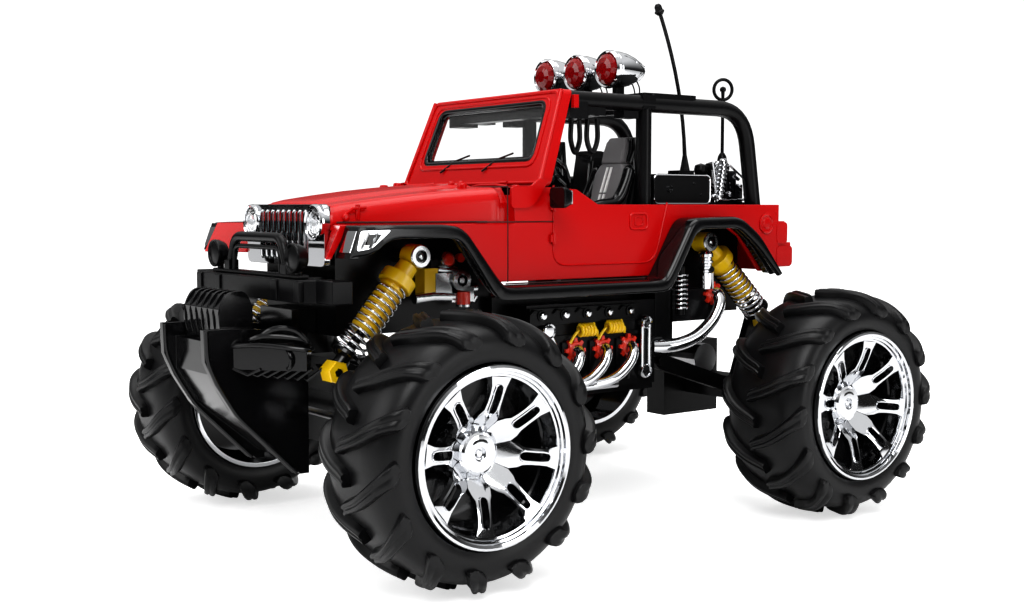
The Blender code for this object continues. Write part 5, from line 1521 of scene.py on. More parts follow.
def engine_side(side):
    """Plated pipes, studs, link and plug coils on one side of the dummy engine."""
    bright, red, yellow, black = bmesh.new(), bmesh.new(), bmesh.new(), bmesh.new()

    def sx(x, y, z):
        return at(side * x, y, z)

    for y in (-14.5, 5, 24.4):
        star_flange(red, sx(61.4, y, 98.4), side, 0)
        pipe = smooth_path(
            [
                sx(60, y, 98.4), sx(64.6, y, 98.2), sx(67.6, y - 1.2, 95.5), sx(68, y - 4, 90.2),
                sx(66.6, y - 10, 84), sx(65, y - 18, 80.2), sx(63.8, y - 29, 78.6)],
            6)
        tube(bright, pipe, [3.5 * mm] * 8 + [3.1 * mm] * (len(pipe) - 9) + [2.2 * mm], 16)
    tube(
        bright,
        smooth_path([sx(63.6, 14, 78.4), sx(63.8, -6, 78.2), sx(64, -30, 78), sx(63.6, -48, 78)], 4),
        2.6 * mm, 14)
    for k in range(5):
        y, z = -38 + 15.7 * k, 118.4
        spun(
            bright, [(0, 0), (2.3 * mm, 0), (2.3 * mm, 0.6), (1.7 * mm, 1), (0, 1.1)], sx(62.6, y, z),
            sx(65, y, z), 0, 16)
        spun(black, [(0, 0), (3.1 * mm, 0), (3.1 * mm, 1), (0, 1)], sx(62, y, z), sx(63.4, y, z), 0, 18)
        tube(
            black, [sx(63.2, y - 8.4, z + 1), sx(63.6, y - 6, z + 3), sx(63.6, y - 3.4, z + 2.8)],
            [0.5 * mm, 0.8 * mm, 0.5 * mm], 8)
    block(
        black, at(min(side * 59.6, side * 62.6), -46, 113.4),
        at(max(side * 59.6, side * 62.6), 31, 122.4))
    block(black, at(min(side * 59.6, side * 61.4), -46, 104.8), at(max(side * 59.6, side * 61.4), 40, 107))
    for k in range(3):
        y = -19 + 19.5 * k
        block(
            black, at(min(side * 59.6, side * 61.6), y - 4, 82),
            at(max(side * 59.6, side * 61.6), y + 3, 103))
        tube(black, [sx(61.6, y + 6, 103), sx(62.4, y + 6, 92), sx(61.6, y + 4, 80)], 1.2 * mm, 8)
    spun(
        bright, [(0, 0), (4.6 * mm, 0), (4.6 * mm, 0.5), (3.9 * mm, 0.9), (3.1 * mm, 0.7), (0, 0.8)],
        sx(61.5, -33.5, 110), sx(64.5, -33.5, 110), 0, 26)
    tube(bright, [sx(62.6, -31.5, 106.6), sx(62.4, -29, 102)], 1.6 * mm, 10)
    for z in (83.6, 111.4):
        spun(
            bright,
            [(0, 0), (4.2 * mm, 0), (4.2 * mm, 0.6), (3.4 * mm, 0.9), (3.0 * mm, 0.7), (0, 0.8)],
            sx(61.6, 36.4, z), sx(65.4, 36.4, z), 0, 26)
    for dy in (-2.6, 2.6):
        tube(bright, [sx(63.2, 36.4 + dy, 86), sx(63.2, 36.4 + dy, 109)], 1.2 * mm, 10)
    block(black, at(min(side * 59.6, side * 62.6), 33.4, 86), at(max(side * 59.6, side * 62.6), 39.4, 109))
    star_flange(red, sx(61, 91.5, 125.5), side, 0)
    tail = smooth_path(
        [
            sx(59.5, 91.5, 125.5), sx(64.6, 92, 125), sx(67.6, 90.5, 119), sx(68, 84, 109.5),
            sx(66.8, 74, 101.6), sx(64.6, 63, 97.6), sx(62, 53, 96.4), sx(58.8, 46, 96.4)],
        6)
    tube(bright, tail, 3.9 * mm, 18)
    spun(black, [(0, 0), (6 * mm, 0), (6 * mm, 1), (0, 1)], sx(58, 47, 96.4), sx(60.8, 47, 96.4), 0, 24)
    spun(
        bright, [(4.6 * mm, 0), (6.1 * mm, 0), (6.1 * mm, 1), (4.6 * mm, 1), (4.6 * mm, 0)],
        sx(59.6, 47.4, 96.4), sx(61.6, 47.4, 96.4), 0, 24)
    rings = [(4.6, 0), (4.6, 0.42), (3.9, 0.45), (3.9, 0.5), (4.7, 0.53), (4.7, 0.58), (3.9, 0.61), (3.9, 0.66), (4.7, 0.69), (4.7, 0.74), (3.9, 0.77), (3.9, 0.82),
             (4.7, 0.85), (4.7, 0.93), (3.2, 1), (0, 1)]
    spun(
        bright, [(0, 0)] + [(r * mm, s) for r, s in rings], sx(61.4, 86, 128.6), sx(61.4, 85.2, 150.6),
        0, 24)
    spun(
        black, [(0, 0), (1.8 * mm, 0), (1.8 * mm, 1), (0, 1)], sx(64.8, 85.8, 140), sx(66.6, 85.8, 140),
        0, 14)
    block(black, at(min(side * 52, side * 60.4), 58, 110), at(max(side * 52, side * 60.4), 94, 128.6))
    block(black, at(min(side * 52, side * 60.4), 46, 92), at(max(side * 52, side * 60.4), 60, 134))
    one = bmesh.new()
    spun(
        one, [(0, 0), (4.4 * mm, 0), (4.7 * mm, 0.5), (4.4 * mm, 1), (0, 1)], (0, 0, 0),
        (0, 0, 1.2 * mm), 0, 18)
    add_pattern(
        bright, one, row_tree(),
        {"Count": 8, "Start": sx(61.2, 65.2, 117.5), "Step": Vector((0, 0, 2.7 * mm)), "Finish": chrome()})
    tube(black, [sx(61.2, 65.2, 114), sx(61.2, 65.2, 142)], 2.6 * mm, 12)
    for y, z in ((-8.8, 109.6), (11.2, 110.4)):
        lead = smooth_path([sx(63, y - 10, z - 7), sx(64.6, y - 8, z - 2.5), sx(65, y - 5.4, z)], 3)
        tube(yellow, lead, 0.8 * mm, 8)
        tube(
            yellow,
            smooth_path([sx(65, y + 5.4, z), sx(64.4, y + 8, z - 1), sx(62.6, y + 9.6, z - 4)], 3),
            0.8 * mm, 8)
        turns = []
        for i in range(73):
            t = i / 72
            a = 2 * math.pi * 5 * t
            turns.append(
                sx(65, y - 5.4 + 10.8 * t, z) + Vector((3 * mm * math.sin(a), 0, 3 * mm * math.cos(a))))
        tube(yellow, turns, 0.95 * mm, 8)
    return bright, red, yellow, black


def well_ornament(side):
    """Plated block with its caps and ring, inside the front wheel arch."""
    bright, red, yellow, black = bmesh.new(), bmesh.new(), bmesh.new(), bmesh.new()

    def sx(x, y, z):
        return at(side * x, y, z)

    def box(shape, x, y, z, dx, dy, dz):
        block(
            shape, at(min(side * (x - dx), side * (x + dx)), y - dy, z - dz),
            at(max(side * (x - dx), side * (x + dx)), y + dy, z + dz))

    box(bright, 43, -87, 137, 5, 9, 5.4)
    box(bright, 43, -79, 131, 5, 7, 4)
    box(yellow, 43, -98.5, 137, 4.6, 4, 8)
    box(black, 41, -88, 146.5, 4, 9, 3)
    tube(bright, [sx(46, -108, 129.6), sx(46, -97, 130.6), sx(46, -84, 130)], 2.8 * mm, 12)
    tube(bright, [sx(46, -94, 144.6), sx(46, -82, 143.6)], 2.0 * mm, 12)
    tube(bright, [sx(45, -73, 134), sx(45, -69, 134)], 2.6 * mm, 12)
    tube(bright, [sx(45, -71.6, 126.6), sx(45, -69.4, 129.6)], 2.2 * mm, 12)
    spun(
        bright,
        [(0, 0), (5.8 * mm, 0), (5.8 * mm, 0.7), (5.4 * mm, 1), (3.2 * mm, 1), (3.2 * mm, 0.3), (0, 0.3)],
        sx(47, -81, 138.4), sx(50.6, -81, 138.4), 0, 26)
    spun(
        black, [(0, 0.2), (3.1 * mm, 0.2), (3.1 * mm, 0.5), (0, 0.5)], sx(47, -81, 138.4),
        sx(50.6, -81, 138.4), 0, 20)
    spun(
        bright, [(0, 0.2), (1.6 * mm, 0.2), (1.6 * mm, 0.9), (0, 0.9)], sx(47, -81, 138.4),
        sx(50.6, -81, 138.4), 0, 12)
    spun(
        bright, [(0, 0), (4.6 * mm, 0), (4.6 * mm, 0.7), (3.8 * mm, 1), (3.2 * mm, 0.8), (0, 0.8)],
        sx(45, -88.4, 149.4), sx(49, -88.4, 149.4), 0, 24)
    spun(
        red, [(0, 0), (3.1 * mm, 0), (3.1 * mm, 0.8), (2.2 * mm, 1), (0, 1)], sx(46, -88.4, 149.4),
        sx(50, -88.4, 149.4), 0, 20)
    spun(red, [(0, 0), (2.4 * mm, 0), (2.4 * mm, 1), (0, 1)], sx(44, -79, 150), sx(46.6, -79, 150), 0, 16)
    tube(red, [sx(49, -79.4, 125.6), sx(49, -79.4, 132.4)], [3.6 * mm, 3.6 * mm], 16)
    tube(bright, [sx(49, -79.4, 124.6), sx(49, -79.4, 125.8)], 4.1 * mm, 16)
    return bright, red, yellow, black


class TRUCK_OT_engine(bpy.types.Operator):
    """Dummy engine ornaments and exhausts"""

    bl_idname = "truck.engine"
    bl_label = "Dummy engine"

    def execute(self, context):
        finishes = (
            ("pipes", chrome, "chrome"), ("flanges", flange_red, "red_paint"),
            ("leads", damper_yellow, "yellow_plastic"), ("casing", satin_black, "black_plastic"))
        for name, side in SIDES:
            for group, shapes in (("engine", engine_side(side)), ("well", well_ornament(side))):
                for shape, (kind, finish_of, slot) in zip(shapes, finishes):
                    replaced = [f"exhaust_{name}"] if (group, kind) == ("engine", "pipes") else ()
                    rounding = 0.35 * mm if kind == "casing" else 0.0
                    look = dull_chrome if (group, kind) == ("well", "pipes") else finish_of
                    piece(f"{group}_{kind}_{name}", shape, [look()], "chassis", replaced, rounding)
        return {"FINISHED"}


# ---------------------------------------------------------------- cabin


def slab(y_front, y_back, z, half, x=0.0, corner=2.4):
    """A rounded rectangle at one height, for lofts."""
    return [
        at(px, py, z) for px,
        py in rounded(
            [(x - half, y_front), (x + half, y_front), (x + half, y_back), (x - half, y_back)], corner,
            4)]


class TRUCK_OT_cabin(bpy.types.Operator):
    """Seats with stripes and bolsters, centre rest and steering wheel"""

    bl_idname = "truck.cabin"
    bl_label = "Cabin"

    def execute(self, context):
        for name, side in SIDES:
            x = side * 33.4
            shape = bmesh.new()
            loft(shape, [slab(26, 38, 174, 10.5, x), slab(28.2, 39.6, 181, 11, x), slab(31, 41.5, 189, 12.4, x), slab(33.4, 43.4, 196, 13, x),
                         slab(35.0, 44.6, 200.6, 10.4, x), slab(35.4, 44.6, 201.6, 8.6, x)])
            loft(
                shape,
                [
                    slab(35.6, 44, 201.0, 8.2, x), slab(34.9, 45.6, 202.4, 9.3, x),
                    slab(36.4, 46.2, 208, 9.3, x), slab(38.4, 46.6, 214, 8.8, x),
                    slab(40, 46, 216.8, 7.2, x)])
            loft(
                shape,
                [slab(-1, 31, 170.3, 10.5, x), slab(-1.6, 30, 175, 10.5, x), slab(0, 29, 176.8, 9.8, x)])
            piece(
                f"seat_cover_{name}", shape, [seat_grey()], "chassis", [f"seat_{name}"],
                0.7 * mm, 3)
            shape = bmesh.new()
            for dx in (-1.7, 1.7):
                for low, high in (((25.9, 174.6), (28.9, 184)), ((29.2, 185), (34.6, 199.6))):
                    (y0, z0), (y1, z1) = low, high
                    corners = [(x + dx - 0.75, x + dx + 0.75)] * 2
                    loft(shape, [[at(a, y0 - 0.5, z0), at(b, y0 - 0.5, z0), at(b, y0 + 1.2, z0), at(a, y0 + 1.2, z0)] if first else
                                 [
                                     at(a, y1 - 0.5, z1), at(b, y1 - 0.5, z1), at(b, y1 + 1.2, z1),
                                     at(a, y1 + 1.2, z1)]
                                 for first, (a, b) in zip((True, False), corners)])
            piece(f"seat_stripes_{name}", shape, [stripe_white()], "chassis", ())
            shape = bmesh.new()
            for hand in (-1, 1):
                wing = smooth_path(
                    [
                        at(x + hand * 13, 2, 173.6), at(x + hand * 14.2, 16, 177.6),
                        at(x + hand * 14.4, 27, 180), at(x + hand * 14.6, 33.6, 190),
                        at(x + hand * 13.8, 38, 200.4)],
                    4)
                tube(shape, wing, [2 * mm] + [3.5 * mm] * (len(wing) - 2) + [1.6 * mm], 12)
                headwing = smooth_path(
                    [
                        at(x + hand * 8.6, 40.4, 202), at(x + hand * 9.4, 42.6, 209),
                        at(x + hand * 8.4, 43.6, 216)],
                    4)
                tube(shape, headwing, 2.2 * mm, 10)
            loft(
                shape,
                [
                    slab(37, 47.5, 172, 14.5, x), slab(41, 48.6, 196, 14.5, x),
                    slab(43.6, 48.8, 203, 10.5, x), slab(45, 49, 217, 8.6, x)])
            loft(shape, [slab(-3, 36, 170.2, 14.6, x), slab(-3, 36, 172.6, 14.6, x)])
            piece(f"seat_shell_{name}", shape, [gloss_black()], "chassis", (), 0.6 * mm, 2)
        shape = bmesh.new()
        loft(
            shape,
            [
                slab(38, 54, 170.4, 8.2), slab(40, 54, 196, 8.4), slab(41.5, 53.6, 206, 8),
                slab(43.4, 52.6, 210.4, 6.4)])
        block(shape, at(-9, -2, 170.3), at(9, 36, 176.4))
        tube(shape, [at(0, 4, 176), at(0, 1, 186)], 1.2 * mm, 10)
        knob(shape, 0, 0.6, 185.6, 2.4, 3.4)
        piece("centre_rest", shape, [gloss_black()], "chassis", (), 0.8 * mm, 3)
        shape = bmesh.new()
        low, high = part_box("steering_wheel")
        centre = Vector(((low.x + high.x) / 2, (MID_Y + -4.35 * mm), (167 + 26) * mm))
        axis = Vector((0, -math.cos(math.radians(30)), -math.sin(math.radians(30)) * 0.5)).normalized()
        up = axis.cross(Vector((1, 0, 0)))

        def on_wheel(turn, radius, lift=0.0):
            return centre + (
                Vector((1, 0, 0)) * math.cos(turn) + up * math.sin(turn)) * radius * mm + axis * lift * mm

        tube(shape, [on_wheel(2 * math.pi * i / 40, 11) for i in range(40)], 1.35 * mm, 10, ring=True)
        for turn in (math.radians(90), math.radians(215), math.radians(325)):
            tube(shape, [on_wheel(turn, 1), on_wheel(turn, 10.6)], [1.9 * mm, 1.2 * mm], 10)
        spun(
            shape, [(0, 0), (3.2 * mm, 0), (3.2 * mm, 0.6), (2.6 * mm, 1), (0, 1)],
            centre + axis * 1.6 * mm, centre - axis * 1.4 * mm, 0, 20)
        tube(shape, [centre, centre + axis * 23 * mm], 2.2 * mm, 12)
        piece(
            "wheel_ring", shape, [gloss_black()], body_of("steering_wheel"), ["steering_wheel"])
        return {"FINISHED"}


class TRUCK_OT_mirrors(bpy.types.Operator):
    """Door mirrors on their arms"""

    bl_idname = "truck.mirrors"
    bl_label = "Mirrors"

    def execute(self, context):
        for name, side in SIDES:
            shape = bmesh.new()
            low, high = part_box(f"mirror_{name}")
            inner, outer = (low.x, high.x) if side > 0 else (high.x, low.x)
            head = inner + side * 5 * mm
            y0, y1, z0, z1 = low.y, low.y + 6.4 * mm, low.z, high.z
            stations = []
            for y, shrink in ((y0, 0.0), (y0 + 2 * mm, 0.0), (y1, 1.6 * mm)):
                corners = rounded(
                    [
                        (head + side * shrink, z0 + shrink), (outer - side * shrink, z0 + shrink),
                        (outer - side * shrink, z1 - shrink), (head + side * shrink, z1 - shrink)],
                    2.2 * mm, 4)
                stations.append([Vector((x, y, z)) for x, z in corners])
            loft(shape, stations)
            arm = [Vector((inner, y0 + 5 * mm, (z0 + z1) / 2 + 1.5 * mm)), Vector((inner + side * 4 * mm, y0 + 4.6 * mm, (z0 + z1) / 2 + 2 * mm)),
                   Vector((head + side * 3 * mm, y0 + 3 * mm, (z0 + z1) / 2 + 1 * mm))]
            tube(shape, smooth_path(arm, 4), 1.5 * mm, 10)
            piece(
                f"mirror_head_{name}", shape, [gloss_black()], body_of(f"mirror_{name}"),
                [f"mirror_{name}"], 0.7 * mm, 3)
            shape = bmesh.new()
            pane = rounded(
                [
                    (head + side * 1.6 * mm, z0 + 1.6 * mm), (outer - side * 1.6 * mm, z0 + 1.6 * mm),
                    (outer - side * 1.6 * mm, z1 - 1.6 * mm), (head + side * 1.6 * mm, z1 - 1.6 * mm)],
                1.6 * mm, 4)
            loft(shape, [[Vector((x, y, z)) for x, z in pane] for y in (y1 - 0.4 * mm, y1 + 0.3 * mm)])
            piece(f"mirror_pane_{name}", shape, [dull_chrome()], body_of(f"mirror_{name}"), ())
        return {"FINISHED"}


# ---------------------------------------------------------------- roof


class TRUCK_OT_cage(bpy.types.Operator):
    """Roll cage, header console and lamp plate"""

    bl_idname = "truck.cage"
    bl_label = "Roll cage"

    def execute(self, context):
        shape = bmesh.new()
        for side in (-1, 1):
            rail = soften([(-15.6, 235.2), (123.35, 235.2), (132.95, 174), (132.95, 170.6)], 22, 9)
            tube(shape, [at(side * 54, p[0], p[1]) for p in rail], 4.8 * mm, 20)
            tube(shape, [at(side * 53.6, 42.35, 170.6), at(side * 53.6, 42.35, 234)], 4.5 * mm, 18)
            block(
                shape, at(min(side * 49, side * 58.6), 37.6, 232),
                at(max(side * 49, side * 58.6), 47, 239.8))
            block(
                shape, at(min(side * 46, side * 58.6), -15.6, 224.6),
                at(max(side * 46, side * 58.6), -3, 236))
            block(shape, at(min(side * 47, side * 57), -3.4, 227), at(max(side * 47, side * 57), 11, 231.6))
            block(
                shape, at(min(side * 49, side * 57.4), 24, 226.4),
                at(max(side * 49, side * 57.4), 35, 230.6))
        tube(shape, [at(-54, 42.35, 234.6), at(54, 42.35, 234.6)], 4.4 * mm, 18)
        block(shape, at(-54, -15.6, 226.4), at(54, -6.8, 237.2))
        plate = rounded([(-57.6, 42.6), (57.6, 42.6), (57.6, 82.2), (-57.6, 82.2)], 5, 5)
        prism(shape, [tuple(at(x, y, 0).xy) for x, y in plate], "Z", at(0, 0, 238).z, at(0, 0, 241.4).z)
        block(shape, at(-50, 46, 241), at(50, 78, 242.2))
        block(shape, at(-24, -7, 229), at(24, 8, 235.6))
        for x in (46, 31):
            for y, half in ((10.4, 3.4 if x > 40 else 2.8),):
                loop = [
                    at(x, y - half, 226), at(x, y - half - 0.6, 216), at(x, y - half + 1, 210),
                    at(x, y, 207.6), at(x, y + half - 1, 210), at(x, y + half + 0.6, 216),
                    at(x, y + half, 226)]
                tube(shape, smooth_path(loop, 4), 1.5 * mm, 10)
        piece(
            "cage_tubes", shape, [satin_black()], body_of("roll_cage"), ["roll_cage"],
            0.7 * mm, 2)
        return {"FINISHED"}


class TRUCK_OT_roof_lamps(bpy.types.Operator):
    """Three bullet lamps with red lenses"""

    bl_idname = "truck.roof_lamps"
    bl_label = "Roof lamps"

    def execute(self, context):
        bright, black = bmesh.new(), bmesh.new()
        y = 36.35
        z = 256.5
        for name, x in (("right", -29.2), ("centre", 0.0), ("left", 29.2)):
            front, back = at(x, y - 1.2, z), at(x, y + 27, z)
            spun(bright, [(0, 0.16), (9.2 * mm, 0.1), (9.3 * mm, 0.0), (10.2 * mm, -0.02), (11 * mm, 0.03), (11.1 * mm, 0.09), (10.2 * mm, 0.13), (10.5 * mm, 0.16), (10.6 * mm, 0.3), (9.8 * mm, 0.48),
                          (8 * mm, 0.68), (5.6 * mm, 0.86), (4.2 * mm, 0.93), (2.6 * mm, 0.96), (2.4 * mm, 1.0), (0, 1.0)], front, back, 0, 40)
            for spin in range(3):
                a = math.radians(30 + 120 * spin)
                tube(
                    bright,
                    [
                        at(x + 8.4 * math.cos(a), y + 15.6, z + 8.4 * math.sin(a)),
                        at(x + 4.4 * math.cos(a), y + 25, z + 4.4 * math.sin(a))],
                    0.7 * mm, 8)
            block(black, at(x - 2, y + 5, 241.4), at(x + 2, y + 11, z - 9))
            for dx in (-2.4, 2.4):
                lead = smooth_path(
                    [
                        at(x + dx, y + 20, z - 5.6), at(x + dx, y + 22.4, z - 10),
                        at(x + dx * 0.7, y + 23, 241)],
                    4)
                tube(black, lead, 0.5 * mm, 6)
            shape = bmesh.new()
            tip = at(x, y - 4.4, z)
            rings = [(9.2, 0.0, 16), (8.6, 0.45, 16), (6.6, 0.78, 16), (3.4, 0.95, 16)]
            profile = [(0, 0.0)] + [(r * mm, s) for r, s, _ in rings] + [(0, 1.0)]
            spun(shape, profile, at(x, y, z), tip, 0, 16)
            made = piece(
                f"red_lens_{name}", shape, [lens_red()], body_of(f"roof_lens_{name}"),
                [f"roof_lens_{name}"])
            made.data.shade_flat()
        tube(bright, [at(-29, y + 10, z), at(29, y + 10, z)], 2.3 * mm, 14)
        for x in (-14.6, 14.6):
            spun(
                bright,
                [(0, 0), (3.4 * mm, 0), (3.8 * mm, 0.2), (3.8 * mm, 0.8), (3.4 * mm, 1), (0, 1)],
                at(x - 2.6, y + 10, z), at(x + 2.6, y + 10, z), 0, 18)
        piece("lamp_bowls", bright, [chrome()], body_of("roof_lamp_bar"), ["roof_lamp_bar"])
        piece("lamp_feet", black, [satin_black()], body_of("roof_lamp_bar"), (), 0.3 * mm)
        return {"FINISHED"}


# ---------------------------------------------------------------- bed


class TRUCK_OT_bed(bpy.types.Operator):
    """Equipment box, plated ornament and aerials"""

    bl_idname = "truck.bed"
    bl_label = "Bed and aerials"

    def execute(self, context):
        shape = bmesh.new()
        box = rounded([(57.4, 170.4), (104, 170.4), (104, 196), (57.4, 196)], 3.4, 5)
        prism(shape, [tuple(at(0, y, z).yz) for y, z in box], "X", -46 * mm, 46 * mm)
        block(shape, at(26, 103, 170.4), at(46, 134, 179.6))
        for x, y, top in ((34, 107.6, 203.4), (32, 118.6, 204.6)):
            spun(
                shape,
                [
                    (0, 0), (2.2 * mm, 0), (2.2 * mm, 0.66), (3.6 * mm, 0.72), (4.3 * mm, 0.82),
                    (3.6 * mm, 0.95), (0, 1)],
                at(x, y, 179), at(x, y, top), 0, 20)
        spun(
            shape,
            [
                (0, 0), (3.2 * mm, 0), (3.2 * mm, 0.62), (4.6 * mm, 0.66), (4.6 * mm, 0.76),
                (3.3 * mm, 0.8), (2.6 * mm, 0.93), (1.3 * mm, 1), (0, 1)],
            at(38, 121.85, 179), at(38, 121.85, 210), 0, 22)
        tube(shape, [at(38, 121.85, 208), at(38, 121.85, 243.4)], 1.1 * mm, 10)
        ring = [
            at(38 + 3.4 * math.cos(t), 121.85 + 4.4 * math.cos(t), 248.5 + 6.2 * math.sin(t))
            for t in (2 * math.pi * i / 36 for i in range(36))]
        tube(shape, ring, 1.1 * mm, 10, ring=True)
        tube(shape, [at(38, 121.85, 242.6), at(38, 121.85, 248.6)], [1 * mm, 1.3 * mm], 10)
        spun(
            shape, [(0, 0), (1.7 * mm, 0.2), (2 * mm, 0.5), (1.7 * mm, 0.8), (0, 1)],
            at(38, 121.85, 246.6), at(38, 121.85, 250.6), 0, 14)
        block(shape, at(28, 126, 179), at(44, 134, 190))
        spun(
            shape, [(0, 0), (4.6 * mm, 0), (4.6 * mm, 0.9), (4 * mm, 1), (0, 1)], at(35, 131, 189),
            at(35, 131, 199), 0, 22)
        piece(
            "equipment_box", shape, [satin_black()], body_of("cargo_box"), ["cargo_box"],
            0.5 * mm, 2)
        shape = bmesh.new()
        for side in (-1, 1):
            rim = rounded([(57.8, 178.6), (103.4, 178.6), (103.4, 195.6), (57.8, 195.6)], 3.4, 6)
            tube(shape, [at(side * 46.1, y, z) for y, z in rim], 0.55 * mm, 8, ring=True)
            spun(
                shape, [(1.4 * mm, 0), (2.3 * mm, 0), (2.3 * mm, 1), (1.4 * mm, 1), (1.4 * mm, 0)],
                at(side * 45.8, 70.6, 187.4), at(side * 46.9, 70.6, 187.4), 0, 20)
        for x, y, z in ((46.1, 96, 184), (46.1, 90, 190.6)):
            spun(
                shape, [(0, 0), (0.7 * mm, 0), (0.7 * mm, 1), (0, 1)], at(x - 0.4, y, z),
                at(x + 0.5, y, z), 0, 10)
        self.ornament(shape)
        piece("bed_plating", shape, [chrome()], body_of("cargo_box"), ())
        shape = bmesh.new()
        foot = at(31, 96.95, 196.35)
        block(shape, foot + Vector((-5.1, -9.5, 0)) * mm, foot + Vector((5.1, 3.1, 2.4)) * mm)
        bow = [
            foot + Vector((0, -24.5 * t * t, 2 + 99 * t)) * mm
            for t in (0, 0.04, 0.1, 0.2, 0.3, 0.4, 0.5, 0.6, 0.7, 0.78, 0.85, 0.9, 0.94)]
        radii = [3.2, 2.4, 1.3] + [1.15] * 9 + [1.2]
        tube(shape, bow, [r * mm for r in radii], 14)
        ahead = (bow[-1] - bow[-3]).normalized()
        cap_low, cap_high = bow[-1] - ahead * 1.2 * mm, bow[-1] + ahead * 6.0 * mm
        spun(
            shape,
            [
                (0, 0), (1.6 * mm, 0.05), (3 * mm, 0.28), (3 * mm, 0.4), (2.3 * mm, 0.46),
                (2.2 * mm, 0.8), (1.2 * mm, 1), (0, 1)],
            cap_low, cap_high, 0, 20)
        piece(
            "whip", shape, [satin_black()], body_of("antenna_whip"), ["antenna_whip"],
            0.35 * mm)
        return {"FINISHED"}

    def ornament(self, shape):
        """A small plated engine at the end of the box: finned barrel, frame rods and bolts."""
        def wide(y):
            return 105.6 + (y - 104) * 1.24

        fins = [(0, 0)]
        for k in range(9):
            fins += [
                (4.6 * mm, k / 9 + 0.01), (4.6 * mm, k / 9 + 0.055), (3.6 * mm, k / 9 + 0.06),
                (3.6 * mm, k / 9 + 0.105)]
        spun(shape, fins + [(0, 1)], at(44, wide(108), 181), at(44.6, wide(111), 204), 0, 24)
        for start, stop, radius in (
            ((45, 104.6, 199), (47, 106.6, 180), 0.8), ((47, 115, 202), (47, 127.6, 192), 0.7),
            ((47, 127.6, 192), (47, 129, 183.4), 1.3),
            ((47, 117.4, 196), (47, 121.4, 193.4), 1.1), ((47, 120.4, 181), (47, 131, 181.2), 0.8),
            ((47, 107, 181), (47, 120, 180.6), 0.8),
            ((47, 126.4, 181), (47, 126.4, 189), 0.9), ((46, 104, 204), (46.4, 105.6, 192), 0.6),
        ):
            tube(shape, [at(x, wide(y), z) for x, y, z in (start, stop)], radius * mm, 10)
        for y, z, radius in (
            (104.4, 182.4, 2.0), (122.6, 189.4, 1.6), (128.8, 184.6, 2.4), (115.6, 184.4, 1.8),
            (111.6, 204, 2.2)):
            spun(
                shape, [(0, 0), (radius * mm, 0), (radius * mm, 0.7), (radius * 0.6 * mm, 1), (0, 1)],
                at(44.6, wide(y), z), at(48, wide(y), z), 0, 18)
        block(shape, at(41, wide(116), 181), at(46.6, wide(119.4), 193))
        block(shape, at(41, wide(122.4), 181.4), at(46, wide(125), 186))


# ---------------------------------------------------------------- stage


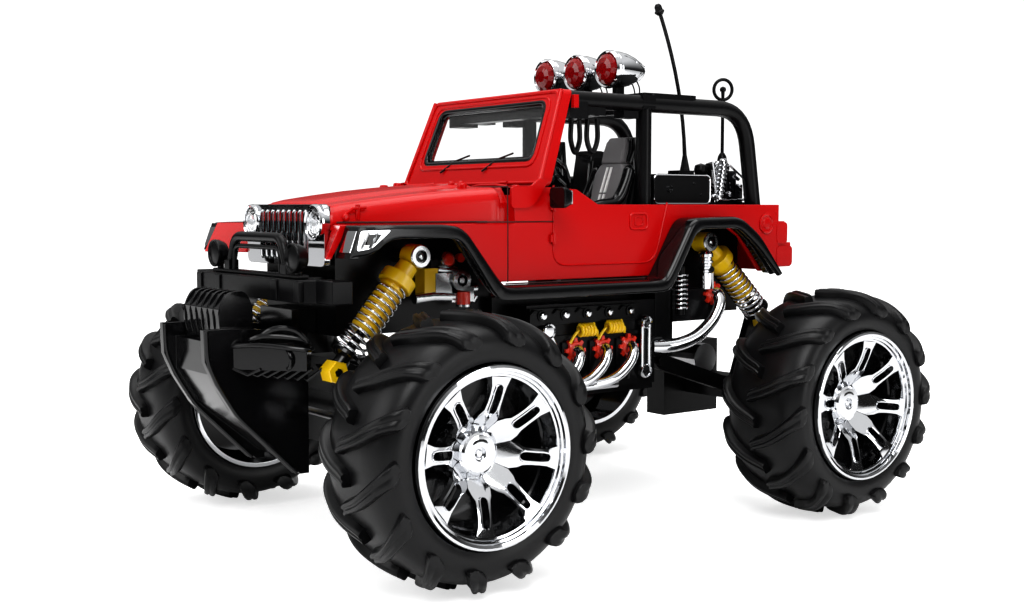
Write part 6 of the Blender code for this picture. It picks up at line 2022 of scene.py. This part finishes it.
class TRUCK_OT_stage(bpy.types.Operator):
    """Pale floor, soft lights and the camera"""

    bl_idname = "truck.stage"
    bl_label = "Stage"

    def execute(self, context):
        scene = context.scene
        floor = bpy.data.meshes.new("floor")
        reach = 12.0
        floor.from_pydata(
            [(-reach, -reach, 0), (reach, -reach, 0), (reach, reach, 0), (-reach, reach, 0)], [],
            [(0, 1, 2, 3)])
        ground = bpy.data.objects.new("floor", floor)
        scene.collection.objects.link(ground)
        pale = finish(
            "studio_floor", tuple(colours().floor), (0.6, 0.7), grain=(60.0, 0.02), mottle=(2.0, 0.995),
            specular=0.2)
        pale.node_tree.nodes["Principled BSDF"].inputs["Emission Color"].default_value = (1, 1, 1, 1)
        glow = pale.node_tree.nodes.new("ShaderNodeMath")
        glow.operation = "MULTIPLY_ADD"
        glow.inputs[1].default_value = 0.5
        glow.inputs[2].default_value = 0.04
        ray = pale.node_tree.nodes.new("ShaderNodeLightPath")
        pale.node_tree.links.new(ray.outputs["Is Camera Ray"], glow.inputs[0])
        pale.node_tree.links.new(
            glow.outputs[0], pale.node_tree.nodes["Principled BSDF"].inputs["Emission Strength"])
        floor.materials.append(pale)
        for name, place, size, power in (
            ("key", (1.1, -0.9, 1.5), (0.9, 0.9), 16), ("fill", (-0.6, -1.7, 0.9), (1.4, 0.9), 9),
            ("top", (0.0, 0.1, 1.8), (1.3, 1.3), 16), ("side", (1.9, 0.7, 0.5), (0.6, 1.0), 7),
        ):
            data = bpy.data.lights.new(name, "AREA")
            data.shape = "RECTANGLE"
            data.size, data.size_y = size
            data.energy = power
            lamp = bpy.data.objects.new(name, data)
            lamp.location = place
            lamp.rotation_euler = (Vector((0, 0, 0.1)) - Vector(place)).to_track_quat("-Z", "Y").to_euler()
            scene.collection.objects.link(lamp)
        self.sky(scene)
        data = bpy.data.cameras.new("camera")
        data.lens = 45.89
        data.sensor_width = 36
        data.clip_start = 0.01
        camera = bpy.data.objects.new("camera", data)
        target = at(16.1, -23.42, 119.45)
        turn, rise, far = math.radians(53.49), math.radians(4.42), 744.47 * mm
        camera.location = target + far * Vector(
            (math.sin(turn) * math.cos(rise), -math.cos(turn) * math.cos(rise), math.sin(rise)))
        camera.rotation_euler = (target - camera.location).to_track_quat("-Z", "Y").to_euler()
        scene.collection.objects.link(camera)
        scene.camera = camera
        scene.view_settings.view_transform = "Standard"
        scene.view_settings.look = "Medium High Contrast"
        return {"FINISHED"}

    def sky(self, scene):
        """White to the eye, darker towards the horizon for what the plating reflects."""
        world = bpy.data.worlds.new("studio")
        scene.world = world
        world.use_nodes = True
        nodes, links = world.node_tree.nodes, world.node_tree.links
        place = nodes.new("ShaderNodeTexCoord")
        axes = nodes.new("ShaderNodeSeparateXYZ")
        ramp = nodes.new("ShaderNodeValToRGB")
        for place_at, level in ((0.0, 0.015), (0.14, 0.03), (0.3, 0.22), (0.62, 0.75)):
            stop = ramp.color_ramp.elements.new(place_at)
            stop.color = (level, level, level, 1)
        ramp.color_ramp.elements.remove(ramp.color_ramp.elements[0])
        ramp.color_ramp.elements.remove(ramp.color_ramp.elements[-1])
        ray = nodes.new("ShaderNodeLightPath")
        mix = nodes.new("ShaderNodeMix")
        mix.data_type = "RGBA"
        mix.inputs["B"].default_value = (1, 1, 1, 1)
        links.new(place.outputs["Generated"], axes.inputs[0])
        links.new(axes.outputs["Z"], ramp.inputs[0])
        links.new(ramp.outputs["Color"], mix.inputs["A"])
        seen = nodes.new("ShaderNodeMath")
        seen.operation = "MAXIMUM"
        links.new(ray.outputs["Is Camera Ray"], seen.inputs[0])
        links.new(ray.outputs["Is Transmission Ray"], seen.inputs[1])
        links.new(seen.outputs[0], mix.inputs["Factor"])
        links.new(mix.outputs["Result"], nodes["Background"].inputs["Color"])


class TRUCK_PT_panel(bpy.types.Panel):
    """Lists the truck's pieces"""

    bl_idname = "TRUCK_PT_panel"
    bl_label = "Monster truck"
    bl_space_type = "VIEW_3D"
    bl_region_type = "UI"
    bl_category = "Truck"

    def draw(self, context):
        for group in (context.scene.truck_sizes, context.scene.truck_colours):
            for key in group.bl_rna.properties.keys():
                if key not in ("rna_type", "name"):
                    self.layout.prop(group, key)
        for step in STEPS:
            self.layout.operator(step.bl_idname)


STEPS = (
    TRUCK_OT_finishes, TRUCK_OT_tyres, TRUCK_OT_rims, TRUCK_OT_shell, TRUCK_OT_windscreen,
    TRUCK_OT_grille, TRUCK_OT_flares,
    TRUCK_OT_bumper, TRUCK_OT_skid, TRUCK_OT_mouldings, TRUCK_OT_dampers, TRUCK_OT_engine,
    TRUCK_OT_cabin, TRUCK_OT_mirrors,
    TRUCK_OT_cage, TRUCK_OT_roof_lamps, TRUCK_OT_bed, TRUCK_OT_stage,
)
CLASSES = (TruckSizes, TruckColours, *STEPS, TRUCK_PT_panel)


def register():
    for item in CLASSES:
        bpy.utils.register_class(item)
    bpy.types.Scene.truck_sizes = bpy.props.PointerProperty(type=TruckSizes)
    bpy.types.Scene.truck_colours = bpy.props.PointerProperty(type=TruckColours)


def unregister():
    del bpy.types.Scene.truck_colours
    del bpy.types.Scene.truck_sizes
    for item in reversed(CLASSES):
        bpy.utils.unregister_class(item)


def main():
    register()
    for step in STEPS:
        area, name = step.bl_idname.split(".")
        getattr(getattr(bpy.ops, area), name)()


if __name__ == "__main__":
    main()
